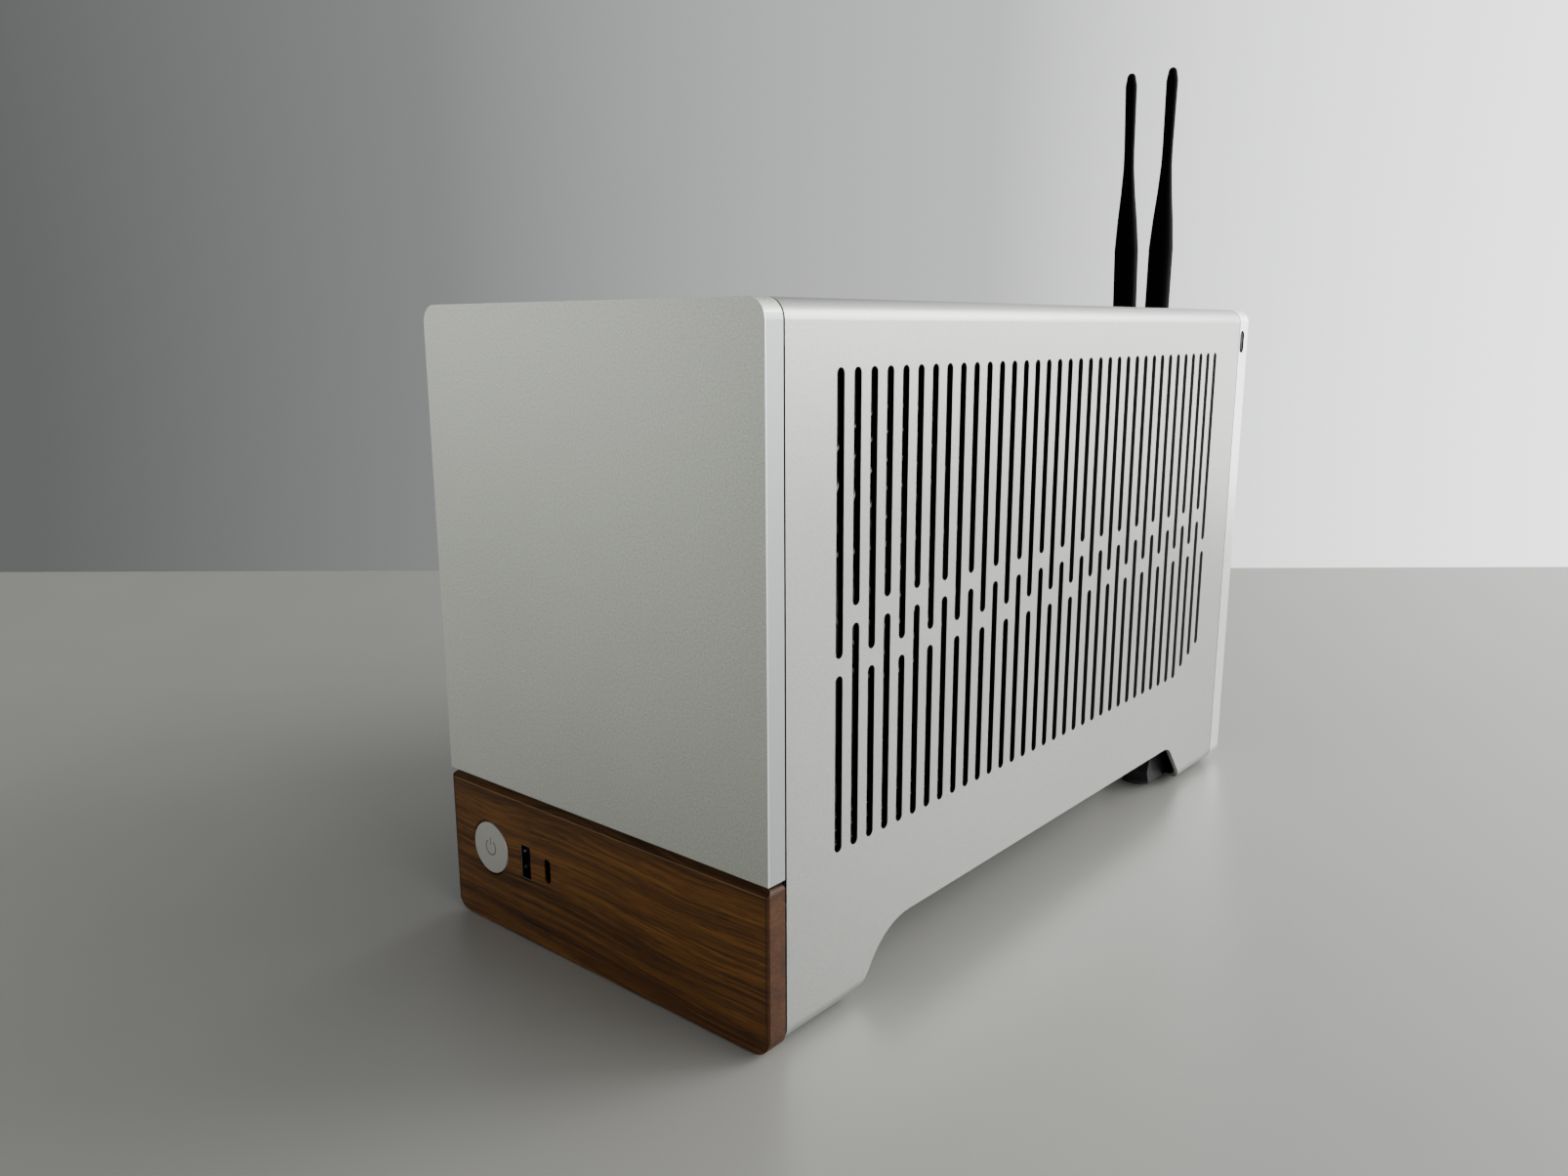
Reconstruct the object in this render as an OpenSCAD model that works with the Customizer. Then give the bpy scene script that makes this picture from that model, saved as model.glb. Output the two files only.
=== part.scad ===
// Compact desktop computer tower: perforated gull-wing side doors, metal and wood front, two antennas.
// Upright as it stands. X is width, Y is depth with the front at -Y, Z is up, feet on Z = 0.
// Inside, every position is measured from the front face and the desk, then placed on the centre.

/* [Case] */
// Overall width across the two doors
case_w = 153; // [128:1:184]
// Overall height from the desk to the top
case_h = 218; // [205:1:262]
// Depth from the front face to the rear rim
case_d = 338.5; // [325:0.5:406]
// Radius of the four long edges
edge_r = 6; // [4:0.5:7]
// Thickness of the aluminium skins
skin = 2; // [1.6:0.1:2.4]
// Height of the metal above the desk
foot_h = 1.5; // [1:0.5:6]

/* [Front] */
// Thickness of the metal and wood front pieces
front_t = 7.3; // [6:0.1:9]
// Height of the top of the wood piece
wood_top = 53.4; // [48:0.1:60]
// Gap between wood and metal
front_gap = 1.4; // [0.6:0.1:2]
// Seam between the front pieces and the doors
seam = 0.7; // [0.4:0.1:1.2]
// Bevel along the wood's top front edge
wood_bevel = 1.8; // [0.5:0.1:3]

/* [Door vents] */
// Number of slot columns along the depth
columns = 35; // [20:1:38]
// Distance between slot columns
pitch = 7.915; // [7:0.005:9]
// Width of one slot
slot_w = 3.5; // [2:0.1:4.5]
// Centre of the first column behind the front face
first_column = 31.9; // [28:0.1:40]
// Bottom of the slots
slot_low = 54.8; // [50:0.1:70]
// Distance from the top of the case to the top of the slots
slot_top_in = 18.8; // [16:0.1:30]
// Bridge between upper and lower slots, low columns
bridge_low = 110.1; // [100:0.1:118]
// Bridge between upper and lower slots, high columns
bridge_high = 124.8; // [120:0.1:140]
// Height of a bridge
bridge_h = 5.2; // [4:0.1:8]

/* [Side arch] */
// Height of the arch above the desk
arch_h = 21.8; // [14:0.1:21.9]
// Where the front leg ends at the desk
arch_front = 42.3; // [40:0.1:60]
// Run of the front slant
arch_run_front = 15.5; // [8:0.1:20]
// Where the rear leg starts, from the rear rim
arch_rear_in = 43.5; // [40:0.5:60]
// Run of the rear slant
arch_run_rear = 17.3; // [8:0.1:20]

/* [Buttons and ports] */
// Power button centre, left of the middle
button_x = -55.5; // [-60:0.5:-50]
// Height of the button and port row
button_z = 29.4; // [27:0.1:32]
// Power button radius
button_r = 9.85; // [7:0.05:11]
// Power button travel
button_travel = 0.8; // [0.4:0.1:1]

/* [Antennas] */
// Distance of the antenna pivots behind the rear rim
ant_back = 16.5; // [16:0.5:24]
// Height of the antenna jacks
ant_z = 165; // [150:1:170]
// First antenna jack, right of the middle
ant_x1 = 8.35; // [7:0.05:10]
// Distance between the antenna jacks
ant_pitch = 15.25; // [14.5:0.05:20]
// Height of the antenna tips
ant_tip = 332.3; // [300:0.1:360]
// Outward lean of the first antenna at rest
ant_lean_1 = 1.38; // [0:0.01:2]
// Outward lean of the second antenna at rest
ant_lean_2 = 0.63; // [0:0.01:2]

/* [Graphics card] */
// Card length
gpu_l = 256; // [240:1:262]
// Card cooler thickness
gpu_t = 40; // [36:1:46]

/* [Hidden] */
hw = case_w / 2;
rim_t = 9.7;
rim_wall = 3;
rim_y = case_d - rim_t;
door_y0 = front_t + seam;
door_y1 = rim_y - 0.6;
hinge_x = hw - edge_r;
hinge_z = case_h - 4;
door_edge = hinge_x - 3;
sweep_r = 5.35;
pin_r = 1.5;
pin_hole_r = 1.55;
lug_r = 2.2;
pin_reach = 3;
bulk_y = door_y0;
bulk_t = 2;
inner_y0 = bulk_y + bulk_t;
panel_y = rim_y + 1.2;
panel_t = 1.5;
tray_z = 22;
tray_t = 2;
floor_z = tray_z + tray_t;
inner_hw = hw - skin - 0.9;
rail_x = hinge_x - 6;
rail_z = case_h - 8.5;
spine_x = -11;
spine_t = 1.5;
board_x = -3;
board_t = 1.6;
board_y = panel_y - 172;
board_z = 32;
board_s = 170;
header_z = board_z + 21;
riser_y = [board_y + 66, board_y + 161];
ant_y = case_d + ant_back;
ear_r = 5;
depth_all = ant_y + ear_r;
ant_x = [ant_x1, ant_x1 + ant_pitch];
blade_wide = ant_tip - ant_z - 12;
clip_z = 76;
cooler_y = board_y + 82;
cooler_z = board_z + 73;
psu = [[-8, 55.5], [36, 136], [78, 203]];
rocker = [psu[1][0] + 2.2, 183];
rocker_tilt = 7;
psu_fan = [(psu[1][0] + psu[1][1]) / 2, (psu[2][0] + psu[2][1]) / 2];
gpu_x = -22;
gpu_y1 = panel_y - 1;
gpu_y0 = gpu_y1 - gpu_l;
gpu_z = [50, 159];
gpu_fans = [gpu_y0 + 60, gpu_y0 + 156];
gpu_fan_z = 104;
inlet = [55, 50];
io_x = [-6.8, 37.65];
io_z = [29, 187.75];
// Slices of an antenna blade: distance below the tip, half width, half depth
blade_shape = [[blade_wide, 5.6, 4.1], [84, 5.6, 4.1], [70, 4.6, 3.45], [57, 3.35, 2.55],
    [45, 2.5, 1.95], [36, 2.35, 1.85], [6, 2.65, 2.1]];
clr = 0.3;
$fn = 64;

// Which sub-part to draw

// ---- shared shapes ----

// A block from its low to its high corner
module block(x, y, z) {
    translate([x[0], y[0], z[0]]) cube([x[1] - x[0], y[1] - y[0], z[1] - z[0]]);
}
// A rod along Y
module yrod(x, z, r, y0, y1) {
    translate([x, y1, z]) rotate([90, 0, 0]) cylinder(h = y1 - y0, r = r);
}
// A rod along X
module xrod(y, z, r, x0, x1) {
    translate([x0, y, z]) rotate([0, 90, 0]) cylinder(h = x1 - x0, r = r);
}
// Extrudes a shape drawn in X and Z along Y
module along_y(y0, y1) {
    translate([0, y1, 0]) rotate([90, 0, 0]) linear_extrude(height = y1 - y0) children();
}
// Extrudes a shape drawn in Y and Z along X
module along_x(x0, x1) {
    translate([x0, 0, 0]) rotate([90, 0, 90]) linear_extrude(height = x1 - x0) children();
}
// Rounded rectangle from its low to its high corner
module round_rect(a, b, r) {
    translate([a[0] + r, a[1]]) square([b[0] - a[0] - 2 * r, b[1] - a[1]]);
    translate([a[0], a[1] + r]) square([b[0] - a[0], b[1] - a[1] - 2 * r]);
    for (x = [a[0] + r, b[0] - r]) {
        for (y = [a[1] + r, b[1] - r]) {
            translate([x, y]) circle(r);
        }
    }
}
// Points of a round of radius r at p, between the lines to a and b
function fillet(a, p, b, r, n = 8) = let(
    u = (a - p) / norm(a - p),
    v = (b - p) / norm(b - p),
    h = acos(u * v) / 2,
    c = p + (u + v) / norm(u + v) * r / sin(h),
    s = p + u * r / tan(h) - c,
    e = p + v * r / tan(h) - c,
    a1 = atan2(s[1], s[0]),
    turn = ((atan2(e[1], e[0]) - a1 + 540) % 360) - 180
) [for (i = [0 : n]) c + r * [cos(a1 + turn * i / n), sin(a1 + turn * i / n)]];
// Outline of the case, seen from the front
module case_outline(z0) {
    round_rect([-hw, z0], [hw, case_h], edge_r);
}
// A round cable through points joined by lines along the axes, with bends of radius bend
module cable(p, r, bend) {
    last = len(p) - 1;
    for (i = [0 : last - 1]) {
        u = (p[i + 1] - p[i]) / norm(p[i + 1] - p[i]);
        s = i == 0 ? 0 : bend;
        e = i == last - 1 ? 0 : bend;
        a = p[i] + u * s;
        l = norm(p[i + 1] - p[i]) - s - e;
        translate(a) rotate([0, acos(u[2]), atan2(u[1], u[0])]) cylinder(h = l, r = r, $fn = 32);
    }
    for (i = [1 : last - 1]) {
        u = (p[i] - p[i - 1]) / norm(p[i] - p[i - 1]);
        v = (p[i + 1] - p[i]) / norm(p[i + 1] - p[i]);
        w = cross(u, v);
        c = p[i] - u * bend + v * bend;
        multmatrix([[-v[0], u[0], w[0], c[0]], [-v[1], u[1], w[1], c[1]], [-v[2], u[2], w[2], c[2]]])
            rotate_extrude(angle = 90, $fn = 32) translate([bend, 0]) circle(r);
    }
}
// Square fan frame from Z = 0, with a bearing hub on four spokes
module fan_frame(size, t, bore, hub) {
    difference() {
        translate([-size / 2, -size / 2, 0]) cube([size, size, t]);
        translate([0, 0, -1]) cylinder(h = t + 2, r = bore);
        for (x = [-1, 1] * (size / 2 - 4.8)) {
            for (y = [-1, 1] * (size / 2 - 4.8)) {
                translate([x, y, -1]) cylinder(h = t + 2, r = 2, $fn = 24);
            }
        }
    }
    fan_hub(bore + 1, hub);
}
// Bearing hub and spokes, shared by the frames and the card's shroud
module fan_hub(reach, hub) {
    difference() {
        union() {
            cylinder(h = 2, r = hub);
            for (a = [45 : 90 : 315]) {
                rotate([0, 0, a]) translate([hub - 2, -1.5, 0.2]) cube([reach - hub + 2, 3, 1.6]);
            }
        }
        translate([0, 0, 0.6]) cylinder(h = 3, r = 1.3, $fn = 24);
    }
}
// Fan rotor above its bearing hub, with a shaft that runs in the hub
module fan_rotor(tip, hub, t, blades) {
    top = t - 1;
    translate([0, 0, 0.9]) cylinder(h = 3, r = 1.25, $fn = 24);
    translate([0, 0, 2.6]) cylinder(h = top - 2.6, r = hub);
    intersection() {
        translate([0, 0, 3.2]) cylinder(h = top - 3.8, r = tip);
        union() {
            for (k = [0 : blades - 1]) {
                rotate([0, 0, k * 360 / blades]) translate([(hub + tip) / 2, 0, (2.6 + top) / 2])
                    rotate([38, 0, 0]) cube([tip - hub + 4, 2 * t, 1.2], center = true);
            }
        }
    }
}

// ---- shell ----

module front_panel() {
    color([0.66, 0.68, 0.66])
    difference() {
        along_y(0, front_t) intersection() {
            case_outline(foot_h);
            translate([-hw, wood_top + front_gap]) square([case_w, case_h]);
        }
        for (s = [-1, 1]) {
            yrod(s * hinge_x, hinge_z, pin_hole_r, front_t - pin_reach - 0.5, front_t + 1);
        }
    }
}

module wood_front() {
    color([0.35, 0.24, 0.17])
    difference() {
        along_y(0, front_t) intersection() {
            round_rect([-hw, 0.5], [hw, case_h], edge_r);
            round_rect([-hw, -20], [hw, wood_top], wood_bevel);
        }
        translate([0, 0, wood_top]) rotate([45, 0, 0])
            cube([case_w + 2, wood_bevel * sqrt(2), wood_bevel * sqrt(2)], center = true);
        for (s = [-1, 1]) {
            translate([s * hw, 0, 30]) rotate([0, 0, 45]) cube([0.8, 0.8, 80], center = true);
        }
        yrod(button_x, button_z, button_r + clr, -1, front_t + 1);
        yrod(button_x, button_z, button_r + 1.7, 5.4, front_t + 1);
        block([-38.6, -32.7], [-1, front_t + 1], [button_z - 6.4, button_z + 6.5]);
        along_y(-1, front_t + 1) round_rect([-25.5, button_z - 4.1], [-21.9, button_z + 4.7], 1.7);
    }
}

module front_bulkhead() {
    color([0.12, 0.12, 0.13])
    difference() {
        union() {
            block([-inner_hw, inner_hw], [bulk_y, inner_y0], [12, case_h - 10]);
            block([-rail_x, rail_x], [bulk_y, inner_y0], [case_h - 11, case_h - 4]);
            for (x = [-62, 0, 62]) {
                for (z = [48, 62, case_h - 15]) {
                    yrod(x, z, 3, front_t, bulk_y + 0.5);
                }
            }
        }
        yrod(button_x, button_z, 3, bulk_y - 2, inner_y0 + 1);
        block([-39, -32], [bulk_y - 1, inner_y0 + 1], [button_z - 7, button_z + 7]);
        block([-26, -21.4], [bulk_y - 1, inner_y0 + 1], [button_z - 5, button_z + 5.5]);
        for (x = [-50 : 20 : 50]) {
            block([x - 6, x + 6], [bulk_y - 1, inner_y0 + 1], [75, 195]);
        }
    }
}

module base_tray() {
    color([0.14, 0.14, 0.15])
    difference() {
        union() {
            block([-inner_hw, inner_hw], [inner_y0, rim_y], [tray_z, floor_z]);
            for (s = [-1, 1]) {
                block([s * (inner_hw - 1) - 1, s * (inner_hw - 1) + 1], [inner_y0, rim_y], [tray_z, 30]);
            }
        }
        block([-70, -12], [inner_y0 - 1, 28], [tray_z - 1, 31]);
        for (x = [10 : 8 : 58]) {
            for (y = [90, 150, 210]) {
                block([x, x + 4], [y, y + 46], [tray_z - 1, floor_z + 1]);
            }
        }
    }
}

module foot_blocks() {
    color([0.05, 0.05, 0.05])
    for (s = [-1, 1]) {
        for (y = [14, rim_y - 53]) {
            along_x_pair(s, 47, hw - 8.7) polygon(concat(
                [[y + 4, tray_z], [y, 8]],
                fillet([y, 8], [y + 2, 2], [y + 38, 2], 2),
                fillet([y + 2, 2], [y + 38, 2], [y + 40, 8], 2),
                [[y + 40, 8], [y + 36, tray_z]]));
        }
    }
}
// The same slice on the right or, mirrored, on the left
module along_x_pair(s, x0, x1) {
    along_x(s > 0 ? x0 : -x1, s > 0 ? x1 : -x0) children();
}

module foot_pads() {
    color([0.08, 0.08, 0.08])
    for (s = [-1, 1]) {
        for (y = [14, rim_y - 53]) {
            for (d = [10, 30]) {
                translate([s * 59, y + d, 0]) cylinder(h = 2, r = 7);
            }
        }
    }
}

// Inside outline of the rear rim
module rim_opening() {
    round_rect([-hw + rim_wall, tray_z + rim_wall], [hw - rim_wall, case_h - rim_wall], 3.5);
}

module rear_rim() {
    color([0.8, 0.81, 0.8])
    difference() {
        union() {
            along_y(rim_y, case_d) difference() {
                case_outline(foot_h);
                rim_opening();
                translate([-hw + 20, 0]) square([case_w - 40, tray_z]);
            }
            along_y(rim_y, rim_y + 3.7) intersection() {
                case_outline(foot_h);
                union() {
                    for (s = [-1, 1]) {
                        translate([s * (hw + rail_x) / 2 - (hw - rail_x) / 2, case_h - 8.6])
                            square([hw - rail_x, 20]);
                    }
                }
            }
        }
        for (s = [-1, 1]) {
            yrod(s * hinge_x, hinge_z, pin_hole_r, rim_y - 1, rim_y + pin_reach + 0.3);
            along_x_pair(s, hw - rim_wall - 1, hw + 1)
                round_rect([rim_y + 0.6, case_h - 19.4], [rim_y + 5.5, case_h - 9.4], 2.4);
        }
    }
}

module rim_inserts() {
    color([0.03, 0.03, 0.03])
    for (s = [-1, 1]) {
        along_x_pair(s, hw - rim_wall - 2.6, hw - rim_wall) square_at([rim_y + 0.1, case_h - 20.5],
            [rim_y + 6.2, case_h - 9]);
    }
}
module square_at(a, b) {
    translate(a) square(b - a);
}

module rear_panel() {
    y = [panel_y, panel_y + panel_t];
    cut = [panel_y - 1, panel_y + panel_t + 1];
    color([0.13, 0.13, 0.14])
    difference() {
        along_y(y[0], y[1]) intersection() {
            rim_opening();
            union() {
                square_at([-hw, 0], [hw, case_h - 22]);
                square_at([-rail_x, case_h - 23], [rail_x, case_h]);
            }
        }
        block(io_x, cut, io_z);
        block([-61, -25], cut, [56, 158]);
        block([inlet[0] - 12, inlet[0] + 12], cut, [inlet[1] - 15, inlet[1] + 15]);
        for (z = [84 : 9 : 184]) {
            block([44, 66], cut, [z, z + 5]);
        }
        for (x = [-60 : 9 : -20]) {
            block([x, x + 5], cut, [180, 204]);
        }
    }
}

module top_panel() {
    long = (case_w - 44) / 2;
    color([0.75, 0.76, 0.75])
    difference() {
        block([-hinge_x, hinge_x], [door_y0, door_y1], [case_h - skin, case_h]);
        for (s = [-1, 1]) {
            yrod(s * hinge_x, hinge_z, sweep_r, door_y0 - 1, door_y1 + 1);
        }
        for (k = [0 : columns - 1]) {
            y = first_column + k * pitch;
            shift = k % 2 == 0 ? -7 : 7;
            upright_slot(y, -long, shift - bridge_h / 2);
            upright_slot(y, shift + bridge_h / 2, long);
        }
    }
}
// A slot through the top panel, along X
module upright_slot(y, x0, x1) {
    r = slot_w / 2;
    translate([0, 0, case_h - skin - 1]) linear_extrude(height = skin + 2)
        round_slot([x0, y - r], [x1, y + r], r, true);
}
// A slot with full-round ends, long in the first or the second direction
module round_slot(a, b, r, first) {
    if (first) {
        translate([a[0] + r, a[1]]) square([b[0] - a[0] - 2 * r, 2 * r]);
        translate([a[0] + r, a[1] + r]) circle(r, $fn = 32);
        translate([b[0] - r, a[1] + r]) circle(r, $fn = 32);
    } else {
        translate([a[0], a[1] + r]) square([2 * r, b[1] - a[1] - 2 * r]);
        translate([a[0] + r, a[1] + r]) circle(r, $fn = 32);
        translate([a[0] + r, b[1] - r]) circle(r, $fn = 32);
    }
}

module top_rails() {
    color([0.14, 0.14, 0.15]) {
        for (s = [-1, 1]) {
            block([s * (rail_x - 2.5) - 2.5, s * (rail_x - 2.5) + 2.5], [inner_y0, rim_y],
                [rail_z, case_h - skin]);
        }
        for (y = [inner_y0 + 6, rim_y - 6]) {
            block([-rail_x + 4, rail_x - 4], [y - 4, y + 4], [case_h - 5, case_h - skin]);
        }
    }
}

module center_spine() {
    x = [spine_x - spine_t, spine_x];
    cut = [spine_x - spine_t - 1, spine_x + 1];
    color([0.16, 0.16, 0.17])
    difference() {
        union() {
            block(x, [inner_y0, panel_y], [floor_z, case_h - 12]);
            block([spine_x - spine_t, spine_x + 10], [inner_y0 + 20, inner_y0 + 30],
                [case_h - 13.5, case_h - 12]);
            block(x, [inner_y0 + 2, inner_y0 + 10], [case_h - 13, case_h - 5]);
        }
        block(cut, [rim_y, panel_y + 1], [tray_z, tray_z + rim_wall]);
        block(cut, [50, 72], [28, 46]);
        block(cut, [138, 157], [142, 200]);
        block(cut, [riser_y[0] - 2, riser_y[1] - 1], [200, case_h]);
        block(cut, [24, 34], [90, 190]);
        block(cut, [cooler_y - 30, cooler_y + 30], [cooler_z - 30, cooler_z + 30]);
    }
}

module catch_clips() {
    color([0.06, 0.06, 0.06])
    for (s = [-1, 1]) {
        for (y = [[inner_y0, inner_y0 + 8], [panel_y - 8, panel_y]]) {
            difference() {
                block([s * 67 - 5, s * 67 + 5], y, [clip_z - 5, clip_z + 5]);
                xrod((y[0] + y[1]) / 2, clip_z, 2.4, s > 0 ? 64 : -73, s > 0 ? 73 : -64);
            }
        }
    }
}

// ---- doors: drawn on the right, mirrored for the left ----

module arch_cut() {
    z = foot_h;
    a = [arch_front, z];
    b = [arch_front + arch_run_front, arch_h];
    d = [case_d - arch_rear_in, z];
    c = [d[0] - arch_run_rear, arch_h];
    polygon(concat(
        [[a[0] - 8, z - 2]],
        fillet([a[0] - 9, z], a, b, 3),
        fillet(a, b, c, 25),
        fillet(b, c, d, 10),
        fillet(c, d, [d[0] + 9, z], 3),
        [[d[0] + 8, z - 2]]));
}

module door() {
    top = case_h - slot_top_in;
    difference() {
        union() {
            along_y(door_y0, door_y1) difference() {
                case_outline(foot_h);
                round_rect([-hw + skin, foot_h + skin], [hw - skin, case_h - skin], edge_r - skin);
                translate([-hw - 1, foot_h - 1]) square([hw + 1 + hw - 8, case_h / 2]);
                translate([-hw - 1, case_h / 2 - 1]) square([hw + 1 + door_edge, case_h]);
            }
            for (y = [[door_y0, door_y0 + 3], [door_y1 - 3, door_y1]]) {
                yrod(hinge_x, hinge_z, lug_r, y[0], y[1]);
            }
        }
        for (y = [[door_y0 - 1, door_y0 + 4], [door_y1 - 4, door_y1 + 1]]) {
            yrod(hinge_x, hinge_z, pin_r, y[0], y[1]);
        }
        for (y = stud_y()) {
            xrod(y, clip_z, 1.2, hw - skin - 1, hw - 0.8);
        }
        along_x(hw - 12, hw + 2) arch_cut();
        along_x(hw - skin - 0.5, hw + 1) {
            for (k = [0 : columns - 1]) {
                y = first_column + k * pitch - slot_w / 2;
                low = slot_low + max(0, k - columns + 4) * 3.9;
                b = k % 2 == 0 ? bridge_low : bridge_high;
                round_slot([y, low], [y + slot_w, b], slot_w / 2, false);
                round_slot([y, b + bridge_h], [y + slot_w, top], slot_w / 2, false);
            }
        }
    }
}
function stud_y() = [inner_y0 + 4, panel_y - 4];

module door_pins() {
    yrod(hinge_x, hinge_z, pin_r, door_y0 - pin_reach, door_y0 + 4);
    yrod(hinge_x, hinge_z, pin_r, door_y1 - 4, door_y1 + pin_reach + 0.3);
}

module door_studs() {
    for (y = stud_y()) {
        xrod(y, clip_z, 1.2, hw - 8, hw - 0.8);
        translate([hw - 8.2, y, clip_z]) rotate([0, 0, 90]) sphere(1.9, $fn = 32);
    }
}

module right_door() {
    color([0.78, 0.79, 0.78]) door();
}
module right_door_pins() {
    color([0.6, 0.6, 0.62]) door_pins();
}
module right_door_studs() {
    color([0.6, 0.6, 0.62]) door_studs();
}
module left_door() {
    color([0.78, 0.79, 0.78]) mirror([1, 0, 0]) door();
}
module left_door_pins() {
    color([0.6, 0.6, 0.62]) mirror([1, 0, 0]) door_pins();
}
module left_door_studs() {
    color([0.6, 0.6, 0.62]) mirror([1, 0, 0]) door_studs();
}

// ---- front controls ----

module power_button() {
    color([0.8, 0.8, 0.8])
    translate([button_x, 0, button_z]) rotate([-90, 0, 0]) {
        translate([0, 0, 0.2]) cylinder(h = 0.5, r1 = button_r - 0.5, r2 = button_r);
        translate([0, 0, 0.7]) cylinder(h = 5.2, r = button_r);
        translate([0, 0, 5.8]) cylinder(h = 1.1, r = button_r + 1.3);
        translate([0, 0, 6.5]) cylinder(h = 6.5, r = 2.5);
    }
}

module front_io_board() {
    z = [button_z - 6.8, button_z + 14.6];
    color([0.06, 0.16, 0.1]) {
        block([-68, -14], [18, 19.6], z);
        for (x = [-65, -17]) {
            for (h = [z[0] + 3, z[1] - 3]) {
                yrod(x, h, 2.5, inner_y0, 18.2);
            }
        }
        difference() {
            block([button_x - 6, button_x + 6], [15, 18.2], [button_z - 6, button_z + 6]);
            for (s = [-1, 1]) {
                block([button_x + s * 5 - 0.4, button_x + s * 5 + 0.4], [14, 17],
                    [button_z - 7, button_z + 7]);
            }
        }
        yrod(button_x, button_z, 1.7, 14.1, 15.5);
        block([-34, -24], [19.4, 26], [button_z + 4, button_z + 11]);
    }
}

module usb_a_port() {
    z = [button_z - 6.3, button_z + 6.4];
    color([0.05, 0.05, 0.05])
    difference() {
        block([-38.5, -32.8], [0.5, 18], z);
        difference() {
            block([-37.9, -33.4], [-1, 12], [z[0] + 0.5, z[1] - 0.5]);
            block([-37.9, -36], [2.5, 12], [z[0] + 1, z[1] - 1]);
        }
    }
}

module usb_c_port() {
    color([0.05, 0.05, 0.05])
    difference() {
        along_y(0.5, 18) round_rect([-25.4, button_z - 4], [-22, button_z + 4.6], 1.6);
        difference() {
            along_y(-1, 9) round_rect([-25.1, button_z - 3.7], [-22.3, button_z + 4.3], 1.3);
            block([-24, -23.4], [1.5, 9], [button_z - 3, button_z + 3.6]);
        }
    }
}

module front_io_cable() {
    z = button_z + 7.5;
    color([0.03, 0.03, 0.03])
    cable([[-29, 26, z], [-29, 61, z], [6, 61, z], [6, 130, z], [6, 130, header_z],
        [6, board_y + 6, header_z]],
        2.2, 6);
}

// ---- main board ----

module motherboard() {
    color([0.05, 0.06, 0.07])
    difference() {
        block([board_x - board_t, board_x], [board_y, board_y + board_s], [board_z, board_z + board_s]);
        for (p = board_holes()) {
            xrod(p[0], p[1], 1.9, board_x - board_t - 1, board_x + 1);
        }
    }
}
function board_holes() = [for (y = [6.3, 163.7], z = [7.5, 162.5]) [board_y + y, board_z + z]];

module board_screws() {
    color([0.7, 0.6, 0.35])
    for (p = board_holes()) {
        translate([spine_x, p[0], p[1]]) rotate([0, 90, 0]) {
            cylinder(h = board_x - board_t - spine_x, r = 3, $fn = 6);
            cylinder(h = board_x - spine_x + 1, r = 1.7, $fn = 24);
            translate([0, 0, board_x - spine_x]) cylinder(h = 1.8, r = 3, $fn = 32);
        }
    }
}

module cpu_socket() {
    color([0.6, 0.6, 0.62]) {
        block([board_x, board_x + 3], [cooler_y - 26, cooler_y + 26], [cooler_z - 22, cooler_z + 22]);
        block([board_x, board_x + 7.5], [cooler_y - 18, cooler_y + 18], [cooler_z - 17, cooler_z + 17]);
    }
}

module cooler_heatsink() {
    x = board_x + 7.5;
    color([0.75, 0.76, 0.77]) {
        block([x, x + 5], [cooler_y - 20, cooler_y + 20], [cooler_z - 20, cooler_z + 20]);
        block([x + 5, x + 8], [cooler_y - 45, cooler_y + 45], [cooler_z - 45, cooler_z + 45]);
        for (i = [0 : 22]) {
            y = cooler_y - 45 + i * 4.06;
            block([x + 7.9, x + 30], [y, y + 0.7], [cooler_z - 45, cooler_z + 45]);
        }
    }
}

module cooler_fan_frame() {
    color([0.07, 0.07, 0.07])
    translate([board_x + 37.5, cooler_y, cooler_z]) rotate([0, 90, 0]) fan_frame(92, 15, 44, 18);
}

module cooler_fan_rotor() {
    color([0.1, 0.1, 0.11])
    translate([board_x + 37.5, cooler_y, cooler_z]) rotate([0, 90, 0]) fan_rotor(43, 17, 15, 9);
}

module memory_slots() {
    color([0.08, 0.08, 0.09])
    for (y = memory_y()) {
        difference() {
            block([board_x, board_x + 7], [y - 3, y + 3], [board_z + 12, board_z + 154]);
            block([board_x + 3, board_x + 8], [y - 1, y + 1], [board_z + 15, board_z + 151]);
        }
    }
}
function memory_y() = [board_y + 15, board_y + 24];

module memory_modules() {
    color([0.12, 0.12, 0.13])
    for (y = memory_y()) {
        block([board_x + 3, board_x + 33], [y - 0.6, y + 0.6], [board_z + 16.5, board_z + 149.5]);
        difference() {
            block([board_x + 9, board_x + 34], [y - 3, y + 3], [board_z + 17, board_z + 149]);
            for (z = [board_z + 24 : 8 : board_z + 144]) {
                block([board_x + 31, board_x + 35], [y - 4, y + 4], [z, z + 3]);
            }
        }
    }
}

module vrm_heatsinks() {
    y0 = board_y + 130;
    color([0.25, 0.26, 0.28]) {
        difference() {
            block([board_x, board_x + 26], [y0, y0 + 9], [board_z + 22, board_z + 122]);
            for (z = [board_z + 30 : 8 : board_z + 116]) {
                block([board_x + 8, board_x + 27], [y0 - 1, y0 + 5], [z, z + 3]);
            }
        }
        block([board_x, board_x + 12], [board_y + 90, board_y + 126], [board_z + 122, board_z + 148]);
    }
}

module board_connectors() {
    color([0.1, 0.1, 0.1]) {
        block([board_x, board_x + 12], [board_y + 1, board_y + 10], [board_z + 100, board_z + 152]);
        block([board_x, board_x + 11], [board_y + 34, board_y + 52], [board_z + 2, board_z + 11]);
        difference() {
            block([board_x, board_x + 13], [board_y + 1, board_y + 10], [header_z - 5, header_z + 5]);
            yrod(6, header_z, 2.2, board_y, board_y + 6);
        }
    }
}

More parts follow.
